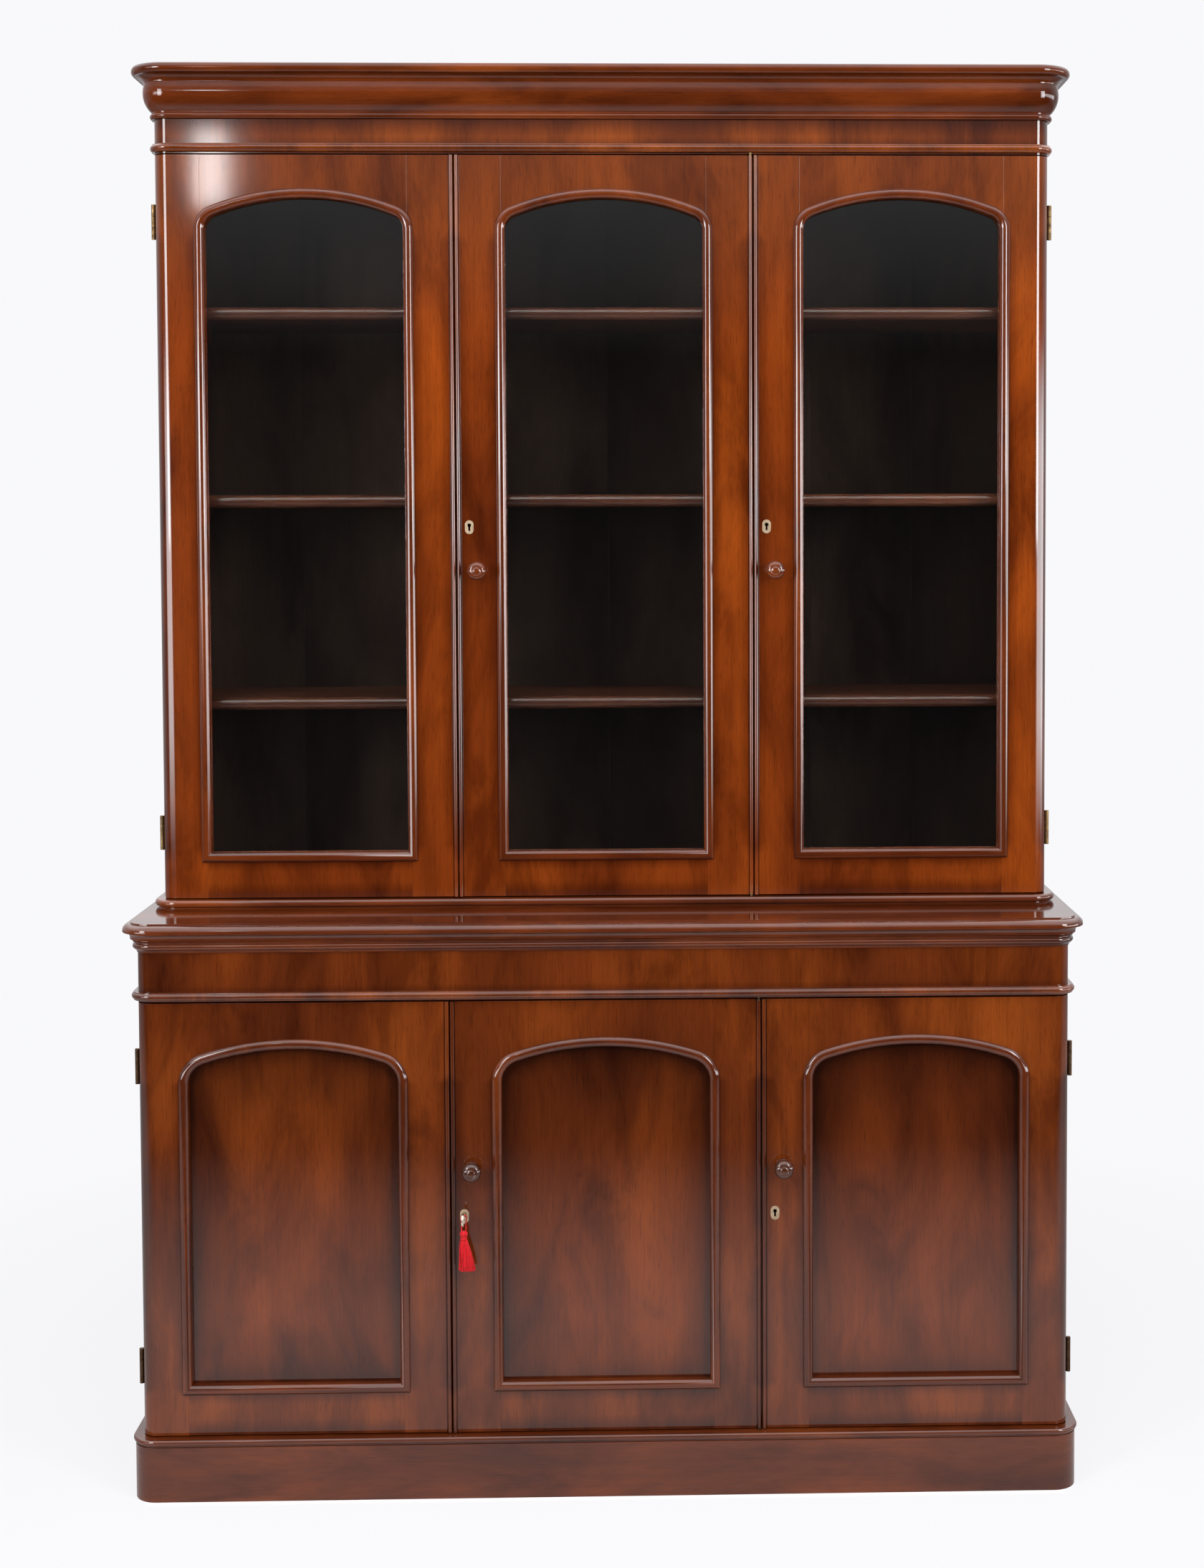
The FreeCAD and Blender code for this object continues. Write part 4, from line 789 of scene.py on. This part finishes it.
def lay_edge_shade(obj):
    """How far every corner is from the middle of its board, across the board; half the board's width; and,
    on a stile, the height within the door's opening, from -1 at its foot to 1 where the arch springs. Wide
    boards count as having no edge. The materials darken the board's long edges with it: painted shade."""
    lo, hi = box_of(obj)
    size = hi - lo
    across = sorted(range(3), key=lambda k: size[k])[1]
    middle, half = (lo[across] + hi[across]) / 2, size[across] / 2
    if half > WIDEST_SHADED_HALF:
        half = NO_EDGE
    foot, spring = lo.z + BELOW_OPENING, hi.z - ABOVE_SPRING

    def edge_shade_measure(p):
        level = (2 * p.z - foot - spring) / (spring - foot) if across == 0 else 0.0
        return (p[across] - middle, half, level)
    lay(obj, "edge_shade_measure", edge_shade_measure)


def finish_back(obj):
    """Widens a back board by a quarter of a millimetre on each side, so that no light comes between two,
    and leaves its rear face in plain wood. Its inner faces keep their nearly black tone: painted shade."""
    lo, hi = box_of(obj)
    for vertex in obj.data.vertices:
        vertex.co.x += SEAM if vertex.co.x > (lo.x + hi.x) / 2 else -SEAM
    obj.data.materials.append(WOOD["rear"])
    for polygon in obj.data.polygons:
        polygon.material_index = 1 if polygon.normal.y > REARWARD else 0


print("attributes: grain, inset, wear")

# %% [markdown]
# ## Dressing a node
# Now everything comes together. Each solid of a node becomes a board with a finish, eased edges and grain,
# and the boards are joined to one piece, which rides on the node's body and replaces the plain solids.

# %% Dress a node
def join_boards(name, boards):
    pick(*boards)
    if len(boards) > 1:
        bpy.ops.object.join()
    boards[0].name = name
    boards[0].data.name = name
    return boards[0]


def dress(node, finish, rule_of=along_longest, width=BOARD_EASE, keep=None, also=None, one_sheet=False):
    boards = []
    shift = fresh_place()
    for solid in solids_of(node):
        box = solid_extent(solid)
        if keep and not keep(*box):
            continue
        board = place_in_scene(node + "_board", mesh_from(node + "_board", solid))
        board.data.materials.append(finish(*box) if callable(finish) else finish)
        ease_edges(board, width)
        lay_grain(board, rule_of, shift if one_sheet else fresh_place())
        if also:
            also(board)
        boards.append(board)
    piece = join_boards(node + "_dressed", boards)
    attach(piece, body_of_node[node])
    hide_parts(node)
    return piece


print("dressing tools ready")

# %% [markdown]
# ## The carcass
# Sides, floors, shelves and tops are plain boards. The partitions keep square edges, because a round would
# narrow the mortises that the bolts go into. The plinth, the cap, the foot and the cornice wrap round three
# sides with rounded corners, so their grain follows the wrap. The friezes' grain stands upright.

# %% Carcass pieces
PLAIN = ["base_sides", "case_sides"]
INSIDE = ["base_bottom", "base_partition", "base_subtop", "base_shelves", "base_bearers", "case_bottom",
          "case_partition", "case_top", "case_shelves", "case_bearers"]
WRAPPED = {"plinth": "moulding", "plinth_cap": "moulding", "waist_moulding": "moulding", "case_foot": "moulding",
           "cornice_moulding": "cornice"}
TOPS = {"waist_top": "moulding", "cornice_top": "cornice"}
FRIEZES = ["base_frieze", "case_frieze"]
BACKS = ["base_back", "case_back"]

made = []
for name in PLAIN:
    made.append(dress(name, stage_tone_with_painted_shade(name), also=lay_edge_shade))
for name in INSIDE:
    made.append(dress(name, WOOD["inside"], width=SQUARE if "partition" in name else BOARD_EASE))
for rule, names in ((round_the_case, WRAPPED), (along_longest, TOPS)):
    for name, tone in names.items():
        made.append(dress(name, WOOD[tone], rule, MOULDED_EASE))
for name in FRIEZES:
    made.append(dress(name, stage_tone_with_painted_shade(name), upright, MOULDED_EASE, also=lay_edge_shade))
for name in BACKS:
    made.append(dress(name, WOOD["back_boards"], also=finish_back))
print("carcass:", len(made), "pieces,", sum(len(p.data.polygons) for p in made), "faces")

# %% [markdown]
# ## The doors
# A door is two stiles and two rails round a panel or a pane, with a rounded moulding planted inside. The
# frame's knob is left out here, because it is turned properly in the next step. Escutcheons are rubbed
# bright, and the hinges of the base are duller than those of the upper case.

# %% Door frames, mouldings, panels and panes
DOORS = [stage + "_" + hand for stage in ("lower", "upper") for hand in ("left", "middle", "right")]
LARGEST_KNOB = 0.06
ESCUTCHEON_THICKNESS, ESCUTCHEON_WIDTH = 0.003, 0.018
WAIST = 0.9


def not_a_knob(lo, hi):
    return max(hi.x - lo.x, hi.z - lo.z) > LARGEST_KNOB


def brass_tone(lo, hi):
    if hi.y - lo.y < ESCUTCHEON_THICKNESS and hi.x - lo.x < ESCUTCHEON_WIDTH:
        return rubbed_brass
    return dull_brass if hi.z < WAIST else brass


for door in DOORS:
    dress(door + "_frame", stage_tone_with_painted_shade(door), upright, DOOR_EASE, not_a_knob, lay_edge_shade, one_sheet=True)
    dress(door + "_mouldings", WOOD["moulding"], round_the_arch, DOOR_EASE)
    if door.startswith("lower"):
        dress(door + "_panel", WOOD["flame_panel"], upright, SQUARE, also=lay_inset)
    else:
        dress(door + "_glass", glass, upright, SQUARE)
    dress(door + "_brass", brass_tone, along_longest, HINGE_EASE)
print("dressed", len(DOORS), "doors")

# %% [markdown]
# ## The lathe
# Round pieces are turned as on a lathe: half of the outline is drawn as a line of points and spun round
# its axis. Cutting the corners of that line twice gives the soft shapes that a turning tool leaves.

# %% Turning tools
CORNER_CUTS = 2
LATHE_SHARP = math.radians(40)


def soft_outline(corners):
    line = list(corners)
    for _ in range(CORNER_CUTS):
        cut = [line[0]]
        for a, b in zip(line, line[1:]):
            cut.append(tuple(0.75 * p + 0.25 * q for p, q in zip(a, b)))
            cut.append(tuple(0.25 * p + 0.75 * q for p, q in zip(a, b)))
        line = cut + [line[-1]]
    return line


def turn_on_lathe(name, outline, steps, centre, axis):
    """Spins an outline of (radius, distance along the axis) points round an axis through centre."""
    mesh = bpy.data.meshes.new(name)
    obj = place_in_scene(name, mesh)
    points = [Vector(centre) + Vector((1, 0, 0)) * r + Vector(axis) * d for r, d in outline]
    mesh.from_pydata([tuple(p) for p in points], [(k, k + 1) for k in range(len(points) - 1)], [])
    pick(obj)
    bpy.ops.object.mode_set(mode="EDIT")
    bpy.ops.mesh.select_all(action="SELECT")
    bpy.ops.mesh.spin(steps=steps, angle=2 * math.pi, center=centre, axis=axis, use_auto_merge=True)
    bpy.ops.mesh.select_all(action="SELECT")
    bpy.ops.mesh.remove_doubles(threshold=1e-6)
    bpy.ops.mesh.normals_make_consistent(inside=False)
    bpy.ops.object.mode_set(mode="OBJECT")
    bpy.ops.object.shade_smooth_by_angle(angle=LATHE_SHARP)
    return obj


print("lathe ready")

# %% [markdown]
# ## Knobs
# A turned knob has a foot ring, a waist, a bold rim and a domed face with a sunk ring. It stands where the
# door's own plain knob stands.

# %% Knobs
KNOB_RADIUS, KNOB_LENGTH, KNOB_STEPS = 0.016, 0.034, 48
KNOB_FRONT = [(0, 1.0), (0.28, 0.995), (0.40, 0.965), (0.46, 0.955), (0.52, 0.975), (0.80, 0.93), (1.02, 0.80),
              (1.02, 0.62), (0.80, 0.50), (0.52, 0.42), (0.44, 0.30), (0.46, 0.20), (0.62, 0.18), (0.76, 0.15)]
KNOB_FOOT = [(0.76, 0.0), (0.40, 0.0), (0, 0.0)]
KNOB_OUTLINE = [(r * KNOB_RADIUS, d * KNOB_LENGTH) for r, d in soft_outline(KNOB_FRONT) + KNOB_FOOT]
WITH_KNOB = [door for door in DOORS if not door.endswith("left")]

for door in WITH_KNOB:
    lo, hi = [b for b in map(solid_extent, solids_of(door + "_frame")) if not not_a_knob(*b)][0]
    centre = (lo + hi) / 2
    knob = turn_on_lathe(door + "_knob", KNOB_OUTLINE, KNOB_STEPS, (centre.x, lo.y + KNOB_LENGTH, centre.z),
                         (0, -1, 0))
    # The lower knobs take the darker tone: painted shade.
    knob.data.materials.append(WOOD["knob" if door.startswith("lower") else "moulding"])
    lay_grain(knob, into_the_knob, fresh_place())
    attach(knob, door + "_door")
    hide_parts(door + "_frame")
print("turned", len(WITH_KNOB), "knobs")

# %% [markdown]
# ## Brass and steel
# The fixed hinge halves, the bolts and the key keep the solids' own shape. Their edges are only broken.

# %% Bolts, hinges and key
METAL = [name for name in nodes if name.endswith("_bolt") or name == "carcass_brass"]
for name in METAL:
    dress(name, brass_tone, along_longest, METAL_EASE)
dress("key", steel, along_longest, METAL_EASE)
print("metal pieces:", len(METAL) + 1)

# %% [markdown]
# ## The tassel
# The head is a wooden ball wound with silk, with a tight band of thread below it. From the band hangs a
# skirt of silk strands that spreads towards the hem and leans a little to the right. Each strand is a thin
# tube on a soft curve of its own.

# %% Tassel head
HEAD_TOP = KEY.z - CORD_DROP
HEAD_RADIUS, HEAD_STEPS = 0.007, 32
HEAD_CORNERS = [(0, 0.05), (0.30, 0.05), (0.62, 0.0), (0.90, -0.25), (1.0, -0.62), (0.92, -1.05), (0.72, -1.35),
                (0.66, -1.42), (0.78, -1.47), (0.78, -1.58), (0.70, -1.63), (0.80, -1.68), (0.80, -1.80),
                (0.70, -1.86), (0.60, -2.1), (0, -2.1)]
head_outline = [(r * HEAD_RADIUS, d * HEAD_RADIUS) for r, d in soft_outline(HEAD_CORNERS)]
head = turn_on_lathe("tassel_head", head_outline, HEAD_STEPS, (KEY.x, TASSEL_Y, HEAD_TOP), (0, 0, 1))
head.data.materials.append(silk)
print("tassel head", len(head.data.polygons), "faces")

# %% [markdown]
# The strands are placed in a spiral, each one a golden angle further round, so that they fill the skirt
# evenly. Each ends at a slightly different height and sways in its own way.

# %% Tassel skirt
SKIRT_TOP = HEAD_TOP - 1.9 * HEAD_RADIUS
SKIRT_FOOT = KEY.z - 0.092
SKIRT_HALF = (0.0150, 0.0075)
SKIRT_LEAN, SKIRT_FILL, SKIRT_NECK, SKIRT_FLARE = 0.0054, 0.95, 0.36, 0.8
STRANDS, STRAND_RADIUS, STRAND_STEPS = 150, 0.00062, 5
STRAND_SWAY, STRAND_BENDS, STRAND_UNEVEN, STRAND_WAVE = 0.0006, 5, 0.003, 6
GOLDEN_TURN = 2.39996


def strand_points(turn, depth, drop, wave):
    points = []
    for step in range(STRAND_STEPS + 1):
        share = step / STRAND_STEPS
        spread = SKIRT_NECK + (1 - SKIRT_NECK) * share ** SKIRT_FLARE
        sway = STRAND_SWAY * math.sin(STRAND_BENDS * share + wave)
        x = KEY.x + SKIRT_LEAN * share + depth * spread * SKIRT_HALF[0] * math.cos(turn) + sway
        y = TASSEL_Y + depth * spread * SKIRT_HALF[1] * math.sin(turn) + 0.5 * sway
        z = SKIRT_TOP + (SKIRT_FOOT + drop - SKIRT_TOP) * share
        points.append((x, y, z))
    return points


strands = []
for number in range(STRANDS):
    depth = SKIRT_FILL * math.sqrt((number + 0.5) / STRANDS)
    drop = SPREAD.uniform(0, STRAND_UNEVEN)
    route = strand_points(number * GOLDEN_TURN, depth, drop, SPREAD.uniform(0, STRAND_WAVE))
    line = silk_line("strand", route, STRAND_RADIUS, sides=1, steps=2)
    line.data.use_fill_caps = True
    strands.append(line)
pick(*strands)
bpy.ops.object.convert(target="MESH")
skirt = join_boards("tassel_skirt", list(bpy.context.selected_objects))
skirt.data.materials.append(silk)
bpy.ops.object.shade_smooth()
for piece in (head, skirt):
    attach(piece, "tassel")
    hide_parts("tassel")
print("skirt of", STRANDS, "strands,", len(skirt.data.polygons), "faces")
